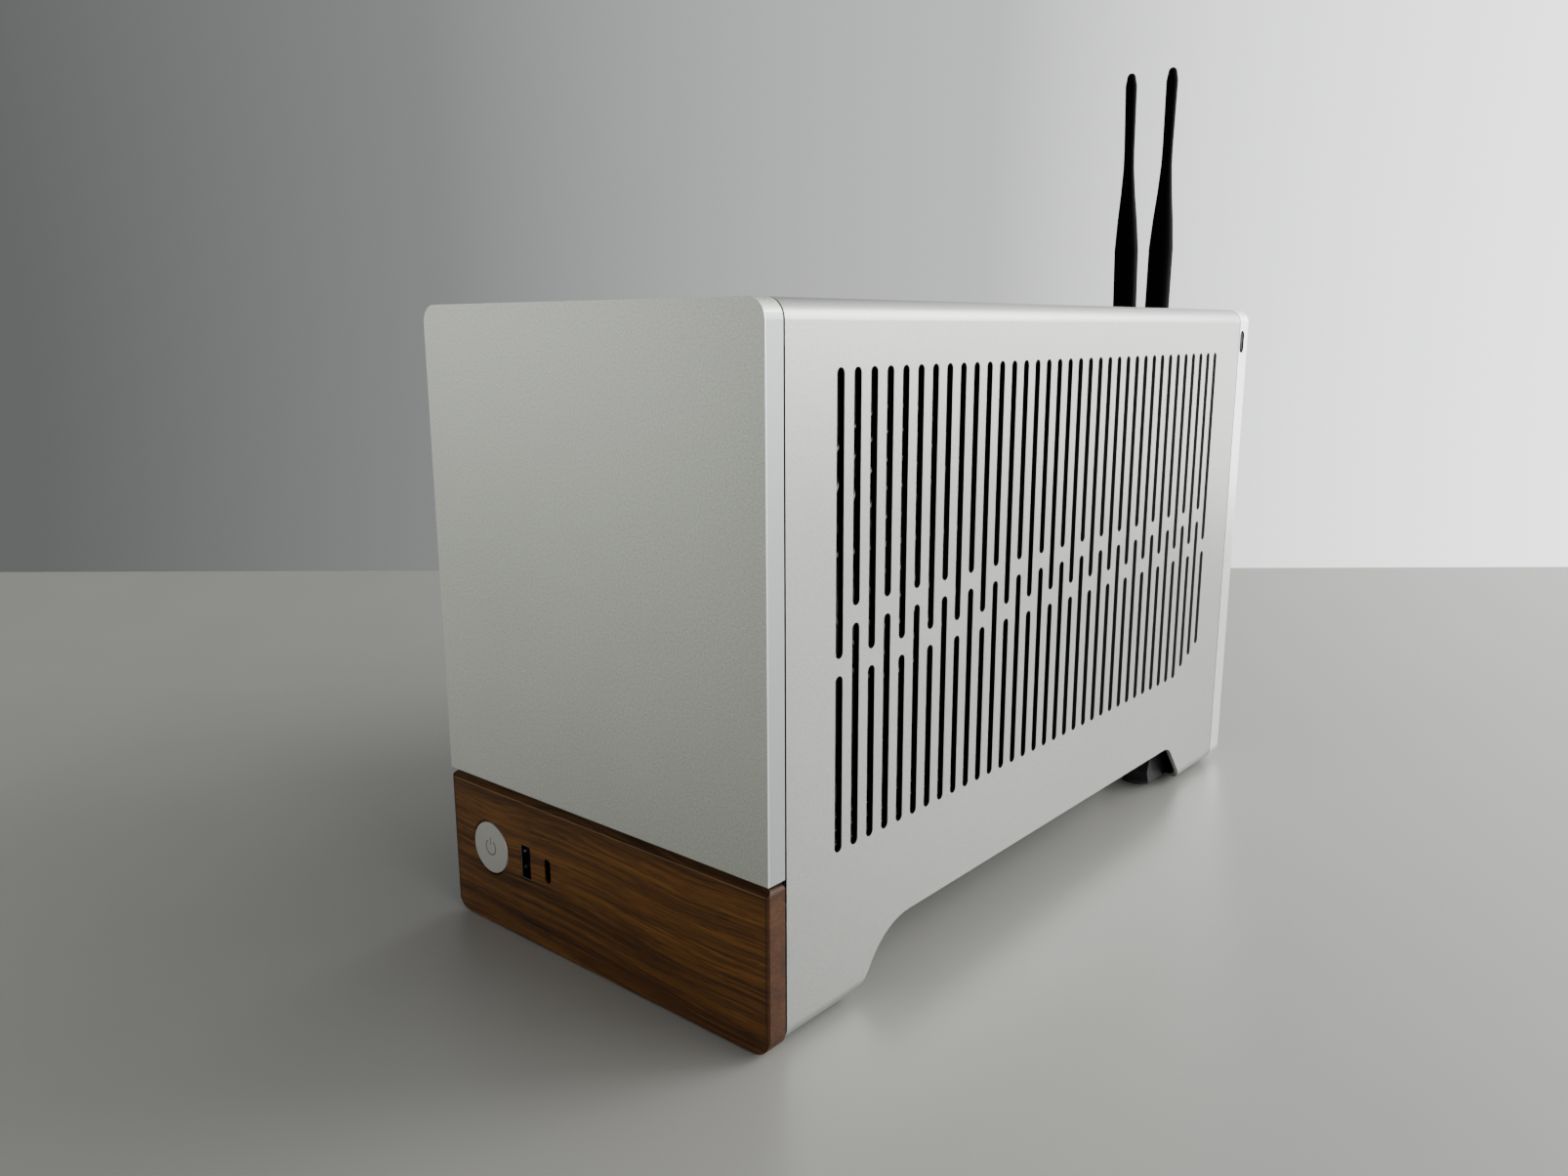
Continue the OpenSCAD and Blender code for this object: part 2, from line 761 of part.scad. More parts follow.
module pcie_slot() {
    y = [board_y + 64, board_y + 154];
    color([0.09, 0.09, 0.1])
    difference() {
        block([board_x, board_x + 11], y, [board_z + 158, board_z + 166]);
        block([board_x + 4, board_x + 12], [y[0] + 2, y[1] - 2], [board_z + 161, board_z + 163]);
    }
}

// Rear ports: [height above the board's low edge, width along Z, reach from the board]
function port_list() = [[22, 15, 16], [39, 15, 16], [56, 16, 14], [74, 15, 31], [92, 15, 31], [111, 17, 28]];

module io_shield() {
    color([0.3, 0.3, 0.32])
    difference() {
        union() {
            block([io_x[0] + 0.1, io_x[1] - 0.1], [panel_y - 0.5, panel_y + 1.2],
                [io_z[0] + 0.1, io_z[1] - 0.1]);
            block([io_x[0] - 1.2, io_x[1] + 1.2], [panel_y - 0.8, panel_y], [io_z[0] - 1.2, io_z[1] + 1.2]);
        }
        for (p = port_list()) {
            block([board_x - 0.2, board_x + p[2] + 0.2], [panel_y - 1, panel_y + 3],
                [board_z + p[0] - p[1] / 2 - 0.2, board_z + p[0] + p[1] / 2 + 0.2]);
        }
        for (x = ant_x) {
            yrod(x, ant_z, 3.4, panel_y - 1, panel_y + 3);
        }
        for (x = [8, 20, 32]) {
            yrod(x, board_z + 148, 3.4, panel_y - 1, panel_y + 3);
        }
    }
}

module io_ports() {
    y = [panel_y - 18, panel_y + 1.9];
    color([0.5, 0.5, 0.52]) {
        for (p = port_list()) {
            z = board_z + p[0];
            difference() {
                block([board_x, board_x + p[2]], y, [z - p[1] / 2, z + p[1] / 2]);
                for (x = [board_x + 1.5 : 7.4 : board_x + p[2] - 6]) {
                    block([x, x + 5.2], [panel_y - 10, panel_y + 3], [z - p[1] / 2 + 1, z + p[1] / 2 - 1]);
                }
            }
        }
        block([board_x, board_x + 39], [panel_y - 18, panel_y - 2], [board_z + 143, board_z + 153]);
        for (x = [8, 20, 32]) {
            difference() {
                yrod(x, board_z + 148, 3.2, panel_y - 2.5, panel_y + 1.9);
                yrod(x, board_z + 148, 1.8, panel_y - 1, panel_y + 3);
            }
        }
    }
}

// ---- power supply ----

module psu_case() {
    color([0.09, 0.09, 0.1])
    difference() {
        block(psu[0], psu[1], psu[2]);
        block([psu[0][0] + 1, psu[0][1] - 1], [psu[1][0] + 1, psu[1][1] - 1], [psu[2][0] + 1, psu[2][1] - 1]);
        xrod(psu_fan[0], psu_fan[1], 43.6, psu[0][1] - 2, psu[0][1] + 1);
        block([31, 45], [psu[1][0] - 1, psu[1][0] + 2], [176, 190]);
        for (z = [90 : 8 : 106]) {
            block([-2, 24], [psu[1][0] - 1, psu[1][0] + 2], [z, z + 4]);
        }
    }
    color([0.09, 0.09, 0.1]) psu_sockets();
    color([0.09, 0.09, 0.1])
    for (y = [psu[1][0] + 12, psu[1][1] - 12]) {
        for (z = [psu[2][0] + 12, psu[2][1] - 12]) {
            xrod(y, z, 4, spine_x, psu[0][0] + 0.5);
        }
    }
}

module psu_grille() {
    x = psu[0][1];
    color([0.5, 0.5, 0.52])
    translate([x, psu_fan[0], psu_fan[1]]) rotate([0, 90, 0]) {
        for (r = [10, 19, 28, 37, 45]) {
            translate([0, 0, 0.9]) rotate_extrude() translate([r, 0]) circle(0.8, $fn = 16);
        }
        for (a = [0, 90]) {
            rotate([0, 0, a]) translate([-47, -0.8, 0]) cube([94, 1.6, 1.4]);
        }
    }
}

module psu_fan_frame() {
    color([0.07, 0.07, 0.07])
    translate([psu[0][1] - 16, psu_fan[0], psu_fan[1]]) rotate([0, 90, 0]) fan_frame(92, 15, 44, 18);
}

module psu_fan_rotor() {
    color([0.1, 0.1, 0.11])
    translate([psu[0][1] - 16, psu_fan[0], psu_fan[1]]) rotate([0, 90, 0]) fan_rotor(43, 17, 15, 9);
}

module psu_rocker() {
    color([0.04, 0.04, 0.04])
    translate([38, rocker[0], rocker[1]]) rotate([-rocker_tilt, 0, 0]) {
        intersection() {
            xrod(0, 0, 6.2, -6, 6);
            block([-8, 8], [-4.6, 0.4], [-8, 8]);
        }
        xrod(0, 0, 0.9, -7.8, 7.8);
    }
}

// Cheeks that carry the rocker, and the sockets on the outside of the supply
module psu_sockets() {
    difference() {
        for (x = [[29.5, 31], [45, 46.5]]) {
            block(x, [psu[1][0] + 0.5, rocker[0] + 1.8], [rocker[1] - 3, rocker[1] + 3]);
        }
        xrod(rocker[0], rocker[1], 0.95, 29, 47);
    }
    y = [psu[1][1] - 0.1, psu[1][1] + 4];
    for (z = [102, 122, 142]) {
        block([12, 48], y, [z, z + 12]);
    }
    for (z = [160, 180]) {
        block([-4, 18], y, [z, z + 12]);
    }
    block([26, 50], [psu[1][0] - 3, psu[1][0] + 0.1], [122, 152]);
}

module power_inlet() {
    p = inlet;
    color([0.05, 0.05, 0.05]) {
        difference() {
            union() {
                block([p[0] - 15, p[0] + 15], [panel_y + panel_t, panel_y + panel_t + 2],
                    [p[1] - 20, p[1] + 20]);
                block([p[0] - 11.8, p[0] + 11.8], [panel_y - 18, panel_y + panel_t + 1],
                    [p[1] - 14.8, p[1] + 14.8]);
            }
            block([p[0] - 8.5, p[0] + 8.5], [panel_y - 14, panel_y + 6], [p[1] - 12.5, p[1] + 12.5]);
        }
        for (q = [[-3, -7], [3, 0], [-3, 7]]) {
            block([p[0] + q[0] - 1, p[0] + q[0] + 1], [panel_y - 15, panel_y - 4],
                [p[1] + q[1] - 2, p[1] + q[1] + 2]);
        }
    }
}

module inlet_cable() {
    y0 = psu[1][0] - 3;
    color([0.04, 0.04, 0.04]) {
        cable([[inlet[0], panel_y - 18, inlet[1]], [inlet[0], 150, inlet[1]], [38, 150, inlet[1]],
            [38, 24, inlet[1]], [38, 24, 124]], 3.8, 8);
        block([28, 48], [17, y0], [123, 151]);
    }
}

module atx_cable() {
    color([0.05, 0.05, 0.05]) {
        for (i = [0 : 3]) {
            z = board_z + 108 + i * 12;
            cable([[26, psu[1][1] + 8, z], [26, board_y + 5.5, z], [board_x + 16, board_y + 5.5, z]], 3, 5);
        }
        block([16, 44], [psu[1][1] + 4, psu[1][1] + 9], [board_z + 103, board_z + 149]);
        block([board_x + 12, board_x + 18], [board_y + 2, board_y + 9], [board_z + 102, board_z + 150]);
    }
}

module gpu_cable() {
    color([0.05, 0.05, 0.05]) {
        for (q = [[3, 181, -43], [11, 189, -51]]) {
            cable([[q[0], psu[1][1] + 8, q[1]], [q[0], 148, q[1]], [q[2], 148, q[1]],
                [q[2], 148, gpu_z[1] + 9]], 3, 3.5);
        }
        block([-2, 16], [psu[1][1] + 4, psu[1][1] + 5.2], [163, 192]);
        block([-56, -38], [142, 154], [gpu_z[1] + 6.2, gpu_z[1] + 10]);
    }
}

// ---- graphics card on the left side ----

module gpu_board() {
    color([0.04, 0.08, 0.06]) {
        block([gpu_x - board_t, gpu_x], [gpu_y0 + 4, gpu_y1], gpu_z);
        block([gpu_x - board_t, gpu_x], [riser_y[0] + 7, riser_y[1] - 7], [42, gpu_z[0] + 0.5]);
    }
}

module gpu_backplate() {
    color([0.2, 0.2, 0.22])
    difference() {
        block([gpu_x, gpu_x + 1.4], [gpu_y0 + 6, gpu_y1 - 8], [gpu_z[0] + 3, gpu_z[1] - 2]);
        for (y = [gpu_y0 + 16 : 9 : gpu_y0 + 70]) {
            block([gpu_x - 1, gpu_x + 2], [y, y + 4], [75, 135]);
        }
    }
}

module gpu_heatsink() {
    x1 = gpu_x - board_t;
    color([0.72, 0.73, 0.74]) {
        block([x1 - 3, x1], [gpu_y0 + 12, gpu_y1 - 26], [gpu_z[0] + 6, gpu_z[1] - 6]);
        for (i = [0 : 42]) {
            y = gpu_y0 + 12 + i * 5;
            block([gpu_x - gpu_t + 16, x1 - 2.9], [y, y + 0.8], [gpu_z[0] + 4, gpu_z[1] + 1]);
        }
    }
}

module gpu_shroud() {
    x0 = gpu_x - gpu_t;
    t = 1.8;
    color([0.1, 0.1, 0.11]) {
        difference() {
            block([x0, gpu_x - 2.2], [gpu_y0, gpu_y1 - 14], [gpu_z[0] - 1, gpu_z[1] + 4]);
            block([x0 + t, gpu_x], [gpu_y0 + t, gpu_y1 - 14 - t], [gpu_z[0] + 1, gpu_z[1] + 4 - t]);
            for (y = gpu_fans) {
                xrod(y, gpu_fan_z, 43.5, x0 - 1, x0 + t + 1);
            }
        }
        for (y = gpu_fans) {
            difference() {
                xrod(y, gpu_fan_z, 45, x0 + t - 0.2, x0 + 12);
                xrod(y, gpu_fan_z, 43.5, x0, x0 + 13);
            }
            translate([x0 + 13.4, y, gpu_fan_z]) rotate([0, -90, 0]) fan_hub(44.5, 14);
        }
        block([-56, -38], [142, 154], [gpu_z[1] + 3.8, gpu_z[1] + 6.2]);
    }
}

module gpu_rotor_front() {
    color([0.12, 0.12, 0.13])
    translate([gpu_x - gpu_t + 13.4, gpu_fans[0], gpu_fan_z]) rotate([0, -90, 0]) fan_rotor(42.5, 13, 13, 11);
}

module gpu_rotor_rear() {
    color([0.12, 0.12, 0.13])
    translate([gpu_x - gpu_t + 13.4, gpu_fans[1], gpu_fan_z]) rotate([0, -90, 0]) fan_rotor(42.5, 13, 13, 11);
}

module gpu_bracket() {
    y = [gpu_y1, panel_y];
    color([0.55, 0.55, 0.57]) {
        difference() {
            block([-61.8, -21], y, [48, 168]);
            for (z = [64 : 8 : 150]) {
                block([-58, -46], [gpu_y1 - 1, panel_y + 1], [z, z + 4.5]);
            }
        }
        for (z = [66, 88, 110, 132]) {
            difference() {
                block([gpu_x - board_t - 7, gpu_x - board_t], [gpu_y1 - 12, gpu_y1 + 0.5], [z - 8, z + 8]);
            }
            difference() {
                block([-31.5, -25.2], [gpu_y1 + 0.5, panel_y + 1.8], [z - 7.5, z + 7.5]);
                block([-30.5, -26.2], [panel_y - 3, panel_y + 3], [z - 6.5, z + 6.5]);
            }
        }
    }
}

module riser_slot() {
    c = gpu_x - board_t / 2;
    color([0.07, 0.07, 0.08]) {
        block([-31, -14.5], riser_y, [28, 30]);
        for (x = [-28, -17.5]) {
            for (y = [riser_y[0] + 6, riser_y[1] - 6]) {
                translate([x, y, floor_z]) cylinder(h = 4.5, r = 2.2, $fn = 24);
            }
        }
        difference() {
            block([c - 3.8, c + 3.8], [riser_y[0] + 3, riser_y[1] - 3], [29.8, 47]);
            block([c - 1.1, c + 1.1], [riser_y[0] + 6, riser_y[1] - 6], [41.5, 48]);
        }
    }
}

// Both edges of a strip of thickness t along a path
function side(p, t) = [for (i = [0 : len(p) - 1]) let(
    d = p[min(i + 1, len(p) - 1)] - p[max(i - 1, 0)],
    n = [-d[1], d[0]] / norm(d)
) p[i] + n * t / 2];

module riser_cable() {
    z1 = case_h - 11.5;
    xr = spine_x - spine_t - 3.8;
    path = concat([[14, board_z + 166]], fillet([14, 150], [14, z1], [xr, z1], 4),
        fillet([14, z1], [xr, z1], [xr, 30], 4), [[xr, 30]]);
    back = side(path, -1.2);
    color([0.07, 0.07, 0.08]) {
        along_y(board_y + 69, board_y + 149)
            polygon(concat(side(path, 1.2), [for (i = [len(back) - 1 : -1 : 0]) back[i]]));
        block([board_x + 11, board_x + 22], [board_y + 65, board_y + 153], [board_z + 157, board_z + 167]);
        block([board_x + 4.3, board_x + 11.5], [board_y + 67, board_y + 151],
            [board_z + 161.3, board_z + 162.7]);
    }
}

// ---- antennas ----

module antenna_jacks() {
    color([0.72, 0.6, 0.32])
    for (x = ant_x) {
        yrod(x, ant_z, 3.1, panel_y - 12, panel_y + 12);
        translate([x, panel_y + 3.6, ant_z]) rotate([90, 0, 0]) cylinder(h = 2.4, r = 4.6, $fn = 6);
    }
}

module antenna_base() {
    y0 = panel_y + 4.5;
    y1 = ant_y - 6;
    color([0.05, 0.05, 0.05]) {
        difference() {
            union() {
                yrod(0, 0, 4.8, y0, y0 + 8);
                yrod(0, 0, 4.3, y0 + 7, y1 + 0.2);
                for (a = [0 : 30 : 330]) {
                    rotate([0, a, 0]) block([4.3, 5.1], [y0 + 1, y0 + 7], [-0.5, 0.5]);
                }
            }
            yrod(0, 0, 3.17, y0 - 1, panel_y + 12.6);
        }
        for (s = [-1, 1]) {
            xrod(ant_y, 0, ear_r, s > 0 ? 2.8 : -5, s > 0 ? 5 : -2.8);
            block([s > 0 ? 2.8 : -5, s > 0 ? 5 : -2.8], [y1 - 4, ant_y], [-4, 4]);
        }
        intersection() {
            yrod(0, 0, 5.4, y1 - 4, y1 + 0.4);
            block([-5, 5], [y1 - 5, y1 + 1], [-5, 5]);
        }
        xrod(ant_y, 0, 1.3, -3, 3);
    }
}

module antenna_blade() {
    up = ant_tip - ant_z;
    color([0.04, 0.04, 0.045]) {
        difference() {
            union() {
                xrod(ant_y, 0, 4.7, -2.5, 2.5);
                block([-2.5, 2.5], [ant_y - 4, ant_y + 4], [0, 9]);
            }
            xrod(ant_y, 0, 1.36, -3, 3);
        }
        hull() {
            blade_layer(8, 5, 4);
            blade_layer(12, 5.6, 4.1);
        }
        for (i = [0 : len(blade_shape) - 2]) {
            hull() {
                blade_layer(up - blade_shape[i][0], blade_shape[i][1], blade_shape[i][2]);
                blade_layer(up - blade_shape[i + 1][0], blade_shape[i + 1][1], blade_shape[i + 1][2]);
            }
        }
        hull() {
            blade_layer(up - 6, 2.65, 2.1);
            translate([0, ant_y, up - 2]) sphere(2, $fn = 24);
        }
    }
}
// A thin rounded slice of the blade, half as wide as a and as deep as b
module blade_layer(z, a, b) {
    r = b * 0.8;
    for (x = [r - a, a - r]) {
        for (y = [r - b, b - r]) {
            translate([x, ant_y + y, z - 0.05]) cylinder(h = 0.1, r = r, $fn = 24);
        }
    }
}

module antenna_base_1() {
    translate([ant_x[0], 0, ant_z]) rotate([0, -ant_lean_1, 0]) antenna_base();
}
module antenna_base_2() {
    translate([ant_x[1], 0, ant_z]) rotate([0, ant_lean_2, 0]) antenna_base();
}
module antenna_blade_1() {
    translate([ant_x[0], 0, ant_z]) rotate([0, -ant_lean_1, 0]) antenna_blade();
}
module antenna_blade_2() {
    translate([ant_x[1], 0, ant_z]) rotate([0, ant_lean_2, 0]) antenna_blade();
}

// Puts a sub-part over the centre of the whole assembly
module placed() {
    translate([0, -depth_all / 2, 0]) children();
}

placed() front_panel();
placed() wood_front();
placed() front_bulkhead();
placed() base_tray();
placed() foot_blocks();
placed() foot_pads();
placed() rear_rim();
placed() rim_inserts();
placed() rear_panel();
placed() top_panel();
placed() top_rails();
placed() center_spine();
placed() catch_clips();
placed() right_door();
placed() right_door_pins();
placed() right_door_studs();
placed() left_door();
placed() left_door_pins();
placed() left_door_studs();
placed() power_button();
placed() front_io_board();
placed() usb_a_port();
placed() usb_c_port();
placed() front_io_cable();
placed() motherboard();
placed() board_screws();
placed() cpu_socket();
placed() cooler_heatsink();
placed() cooler_fan_frame();
placed() cooler_fan_rotor();
placed() memory_slots();
placed() memory_modules();
placed() vrm_heatsinks();
placed() board_connectors();
placed() pcie_slot();
placed() io_shield();
placed() io_ports();
placed() psu_case();
placed() psu_grille();
placed() psu_fan_frame();
placed() psu_fan_rotor();
placed() psu_rocker();
placed() gpu_board();
placed() gpu_backplate();
placed() gpu_heatsink();
placed() gpu_shroud();
placed() gpu_rotor_front();
placed() gpu_rotor_rear();
placed() gpu_bracket();
placed() riser_slot();
placed() riser_cable();
placed() power_inlet();
placed() inlet_cable();
placed() atx_cable();
placed() gpu_cable();
placed() antenna_jacks();
placed() antenna_base_1();
placed() antenna_blade_1();
placed() antenna_base_2();
placed() antenna_blade_2();
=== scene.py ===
# %% [markdown]
# # A small desktop computer tower
#
# The case is a narrow upright box of satin aluminium. Two slotted side doors swing up on pins,
# a walnut block carries the power button and two ports, and two antennas stand at the back.
# All the shapes with a real size come ready made in the frame. This lesson gives every one of
# them its finish, adds the small parts that only matter to the eye, and lights the scene.
# Everything is in metres: +X is right, +Y is back, +Z is up, and the feet stand on Z = 0.

import math
import random

import bmesh
import bpy
from mathutils import Matrix, Vector


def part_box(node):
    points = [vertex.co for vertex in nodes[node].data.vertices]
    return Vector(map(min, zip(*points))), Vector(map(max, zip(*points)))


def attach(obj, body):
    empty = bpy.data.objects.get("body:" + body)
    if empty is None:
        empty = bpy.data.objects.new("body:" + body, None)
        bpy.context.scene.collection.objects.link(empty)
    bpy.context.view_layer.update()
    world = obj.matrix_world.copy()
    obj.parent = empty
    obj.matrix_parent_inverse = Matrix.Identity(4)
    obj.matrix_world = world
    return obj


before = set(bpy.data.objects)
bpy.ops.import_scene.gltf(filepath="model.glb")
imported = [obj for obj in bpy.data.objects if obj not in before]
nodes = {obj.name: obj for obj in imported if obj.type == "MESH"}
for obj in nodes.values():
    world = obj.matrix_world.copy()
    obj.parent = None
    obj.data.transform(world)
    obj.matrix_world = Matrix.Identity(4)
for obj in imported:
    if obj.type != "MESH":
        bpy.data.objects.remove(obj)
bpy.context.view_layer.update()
print("parts in the frame:", len(nodes))

# %% [markdown]
# ## Where the eye stands
#
# A camera can be turned with three angles, but it is easier to trust three directions. One
# points where the lens looks, one points right, and one points up. Together they are the
# columns of a matrix, and the camera looks along its own -Z, so the third column is turned
# round. The lens is wide and stands close, which is why the near front edge looks so tall.

# %% Camera
EYE_PLACE = (0.2873, -0.4187, 0.2089)
EYE_YAW, EYE_PITCH, EYE_ROLL = -40.602, -11.922, -0.192
SENSOR_MM, LENS_MM = 36, 27.87


def look(yaw_deg, pitch_deg, roll_deg):
    yaw, pitch, roll = (math.radians(a) for a in (yaw_deg, pitch_deg, roll_deg))
    ahead = Vector((math.sin(yaw) * math.cos(pitch), math.cos(yaw) * math.cos(pitch), math.sin(pitch)))
    right = Vector((math.cos(yaw), -math.sin(yaw), 0))
    up = right.cross(ahead)
    right_rolled = right * math.cos(roll) + up * math.sin(roll)
    up_rolled = up * math.cos(roll) - right * math.sin(roll)
    return Matrix((right_rolled, up_rolled, -ahead)).transposed(), ahead


turn, ahead = look(EYE_YAW, EYE_PITCH, EYE_ROLL)
eye = bpy.data.objects.new("eye", bpy.data.cameras.new("eye"))
eye.matrix_world = Matrix.Translation(EYE_PLACE) @ turn.to_4x4()
eye.data.sensor_width = SENSOR_MM
eye.data.lens = LENS_MM
eye.data.clip_start = 0.01
bpy.context.scene.collection.objects.link(eye)
bpy.context.scene.camera = eye
print("the lens looks along", tuple(round(v, 3) for v in ahead))

# %% [markdown]
# ## Building finishes from numbers
#
# A finish in Blender is a graph of nodes. Graphs are slow to read, so a tiny class wraps one
# socket and turns +, -, * and / into Math nodes. A second class makes any other node from its
# type, its settings and its inputs, and hands back wrapped sockets. A third adds a material.

# %% Sockets that can be added and multiplied
class Signal:
    def __init__(self, tree, socket):
        self.tree, self.socket = tree, socket

    def math(self, operation, *values):
        node = self.tree.nodes.new("ShaderNodeMath")
        node.operation = operation
        for place, value in enumerate(values):
            if isinstance(value, Signal):
                self.tree.links.new(value.socket, node.inputs[place])
            else:
                node.inputs[place].default_value = value
        return Signal(self.tree, node.outputs[0])

    def __add__(self, other):
        return self.math("ADD", self, other)

    def __sub__(self, other):
        return self.math("SUBTRACT", self, other)

    def __rsub__(self, other):
        return self.math("SUBTRACT", other, self)

    def __mul__(self, other):
        return self.math("MULTIPLY", self, other)

    def __truediv__(self, other):
        return self.math("DIVIDE", self, other)

    def clamp(self):
        return self.math("MINIMUM", self.math("MAXIMUM", self, 0.0), 1.0)

    def above(self, level, soft=0.05):
        return ((self - (level - soft)) / (2 * soft)).clamp()

    def magnitude(self):
        return self.math("ABSOLUTE", self)


# %% The nodes of one tree
class Graph:
    def __init__(self, tree):
        self.tree = tree

    def make(self, kind, settings=None, out=0, **inputs):
        node = self.tree.nodes.new(kind)
        for name, value in (settings or {}).items():
            if name == "stops":
                ramp = node.color_ramp.elements
                while len(ramp) < len(value):
                    ramp.new(0.5)
                for element, (position, colour) in zip(ramp, value):
                    element.position, element.color = position, (*colour, 1)
            else:
                setattr(node, name, value)
        for name, value in inputs.items():
            key = int(name[1:]) if name[0] == "i" and name[1:].isdigit() else name.replace("_", " ")
            if isinstance(value, Signal):
                self.tree.links.new(value.socket, node.inputs[key])
            else:
                node.inputs[key].default_value = value
        return Signal(self.tree, node.outputs[out])

    def part(self, where, axis):
        return self.make("ShaderNodeSeparateXYZ", out=axis, Vector=where)


# %% One material
class Finish(Graph):
    def __init__(self, name, **constants):
        self.material = bpy.data.materials.new(name)
        self.material.use_nodes = True
        super().__init__(self.material.node_tree)
        self.shader = self.tree.nodes["Principled BSDF"]
        for socket, value in constants.items():
            self.shader.inputs[socket.replace("_", " ")].default_value = value
        self.place = self.make("ShaderNodeTexCoord", out="Object")

    def stretched(self, x, y, z):
        return self.make("ShaderNodeMapping", Vector=self.place, Scale=(x, y, z))

    def noise(self, where, scale, detail, rough):
        return self.make("ShaderNodeTexNoise", Vector=where, Scale=scale, Detail=detail,
                         Roughness=rough)

    def mix(self, share, a, b):
        return self.make("ShaderNodeMix", {"data_type": "RGBA"}, out=2, i0=share, i6=a, i7=b)

    def feed(self, name, signal):
        self.tree.links.new(signal.socket, self.shader.inputs[name])

    def bump(self, height, distance, strength):
        normal = self.make("ShaderNodeBump", Height=height, Distance=distance, Strength=strength)
        self.feed("Normal", normal)


def rgb(r, g, b):
    """A colour as a screen shows it, turned into the linear light that Blender mixes."""
    line = lambda v: v / 12.92 / 255 if v <= 10.3 else ((v / 255 + 0.055) / 1.055) ** 2.4
    return (line(r), line(g), line(b), 1.0)


def tinted(tone, factor, lift=0.0):
    """The same colour made lighter or darker, never past white."""
    return tuple(min(1, c * factor + lift) for c in tone[:3]) + (1,)


def wear(piece_name, finish):
    """Puts one finish on a part of the frame."""
    slots = nodes[piece_name].data.materials
    if len(slots) == 0:
        slots.append(finish.material)
    for index in range(len(slots)):
        slots[index] = finish.material


print("ready to mix finishes")

# %% [markdown]
# ## Blasted aluminium
#
# The metal skin was blasted with fine beads and then anodised. It is a mirror broken into
# tiny dents, so it shines softly and has no lines. A flat grey would look like paint. Here one
# fine noise makes the dents and a faint sparkle, and a second, broad noise lets the tone drift
# over the panel as real anodising does.

# %% Metal skins
def blasted(name, tone, rough, dent=0.00003, metal=0.85, speckle=0.12):
    finish = Finish(name)
    grain = finish.noise(finish.place, 2300, 2, 0.6)
    mottle = finish.noise(finish.place, 1350, 3, 0.7)
    drift = finish.noise(finish.place, 9, 3, 0.55)
    darker, lighter = tinted(tone, 1 - speckle), tinted(tone, 1 + speckle)
    spread = ((grain - 0.5) * 1.6 + (mottle - 0.5) * 1.8 + (drift - 0.5) * 0.5 + 0.5).clamp()
    finish.skin = finish.mix(spread, darker, lighter)  # the masks below start from this tone
    finish.feed("Base Color", finish.skin)
    finish.shader.inputs["Metallic"].default_value = metal
    finish.feed("Roughness", (drift * 0.08 + grain * 0.12 + (rough - 0.1)).clamp())
    finish.bump(grain * 0.6 + mottle * 0.4, dent, 0.35)
    return finish


front_metal = blasted("blasted_front", rgb(230, 235, 223), 0.44, speckle=0.22)
door_metal = blasted("blasted_door", rgb(182, 184, 179), 0.34)
top_metal = blasted("blasted_top", rgb(182, 184, 179), 0.34)
rim_metal = blasted("blasted_rim", rgb(250, 251, 251), 0.24, metal=1.0)
button_metal = blasted("turned_button", rgb(226, 225, 218), 0.36, 0.00001, speckle=0.03)
wear("front_panel", front_metal)
for part in ("right_door", "left_door"):
    wear(part, door_metal)
wear("top_panel", top_metal)
wear("rear_rim", rim_metal)
wear("power_button", button_metal)
print("metal skins:", [f.material.name for f in (front_metal, door_metal, rim_metal, button_metal)])

# %% [markdown]
# ## Cut edges and corners
#
# The doors are bright only outside. Inside, and in the walls of the slots, they are painted
# dark as shade, which is why the slots read as crisp black bars. A mask on the distance from
# the middle of the case finds everything below the outer skin. Towards the back the painted
# shade in the walls is lighter, as painted light from the lit inside of the case. The ends of
# the front piece are milled smoother than its face, and its corner line is a painted highlight,
# so the same kind of mask gives them their own tone.

# %% Painted shade inside the doors
SKIN_DEPTH = 0.00006    # the bright skin ends this far in; painted shade lies below
SHEET_DEPTH = 0.0017    # past this, it is the door's inner face
VENTS_LOW = 0.047       # nothing is slotted below this height
VENTS_UNDER_TOP = 0.0125
ROUND_UNDER_TOP = 0.008
DARKEST_AT, FADE = -0.02, 0.17  # the painted slot shade lightens over this stretch of Y

door_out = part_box("right_door")[1]
across = door_metal.part(door_metal.place, 0).magnitude()
along, rise = door_metal.part(door_metal.place, 1), door_metal.part(door_metal.place, 2)
under_skin = 1 - across.above(door_out[0] - SKIN_DEPTH, 0.00003)
in_vents = rise.above(VENTS_LOW, 0.0005) * (1 - rise.above(door_out[2] - VENTS_UNDER_TOP, 0.0005))
inner_face = 1 - across.above(door_out[0] - SHEET_DEPTH, 0.00005)
below_round = 1 - rise.above(door_out[2] - ROUND_UNDER_TOP, 0.0005)
# painted shade: below the bright skin, the slot walls and the door's inner face turn near black
door_painted_shade = (under_skin * in_vents + inner_face * below_round).clamp()
# painted light: the shade in the slot walls grows lighter towards the back
slot_painted_light = ((along - DARKEST_AT) / FADE).clamp() * 0.6
slot_painted_shade = door_metal.mix(slot_painted_light, rgb(6, 6, 7), rgb(128, 130, 129))
door_metal.feed("Base Color", door_metal.mix(door_painted_shade, door_metal.skin, slot_painted_shade))
door_metal.feed("Metallic", (1 - door_painted_shade) * 0.85)
print("doors are dark inside above", VENTS_LOW, "m")

# %% Milled ends of the front piece
front_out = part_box("front_panel")
half_width, face_y = front_out[1][0], front_out[0][1]
across = front_metal.part(front_metal.place, 0).magnitude()
milled = across.above(half_width - 0.0003, 0.00005)
outward = across - front_metal.part(front_metal.place, 1)
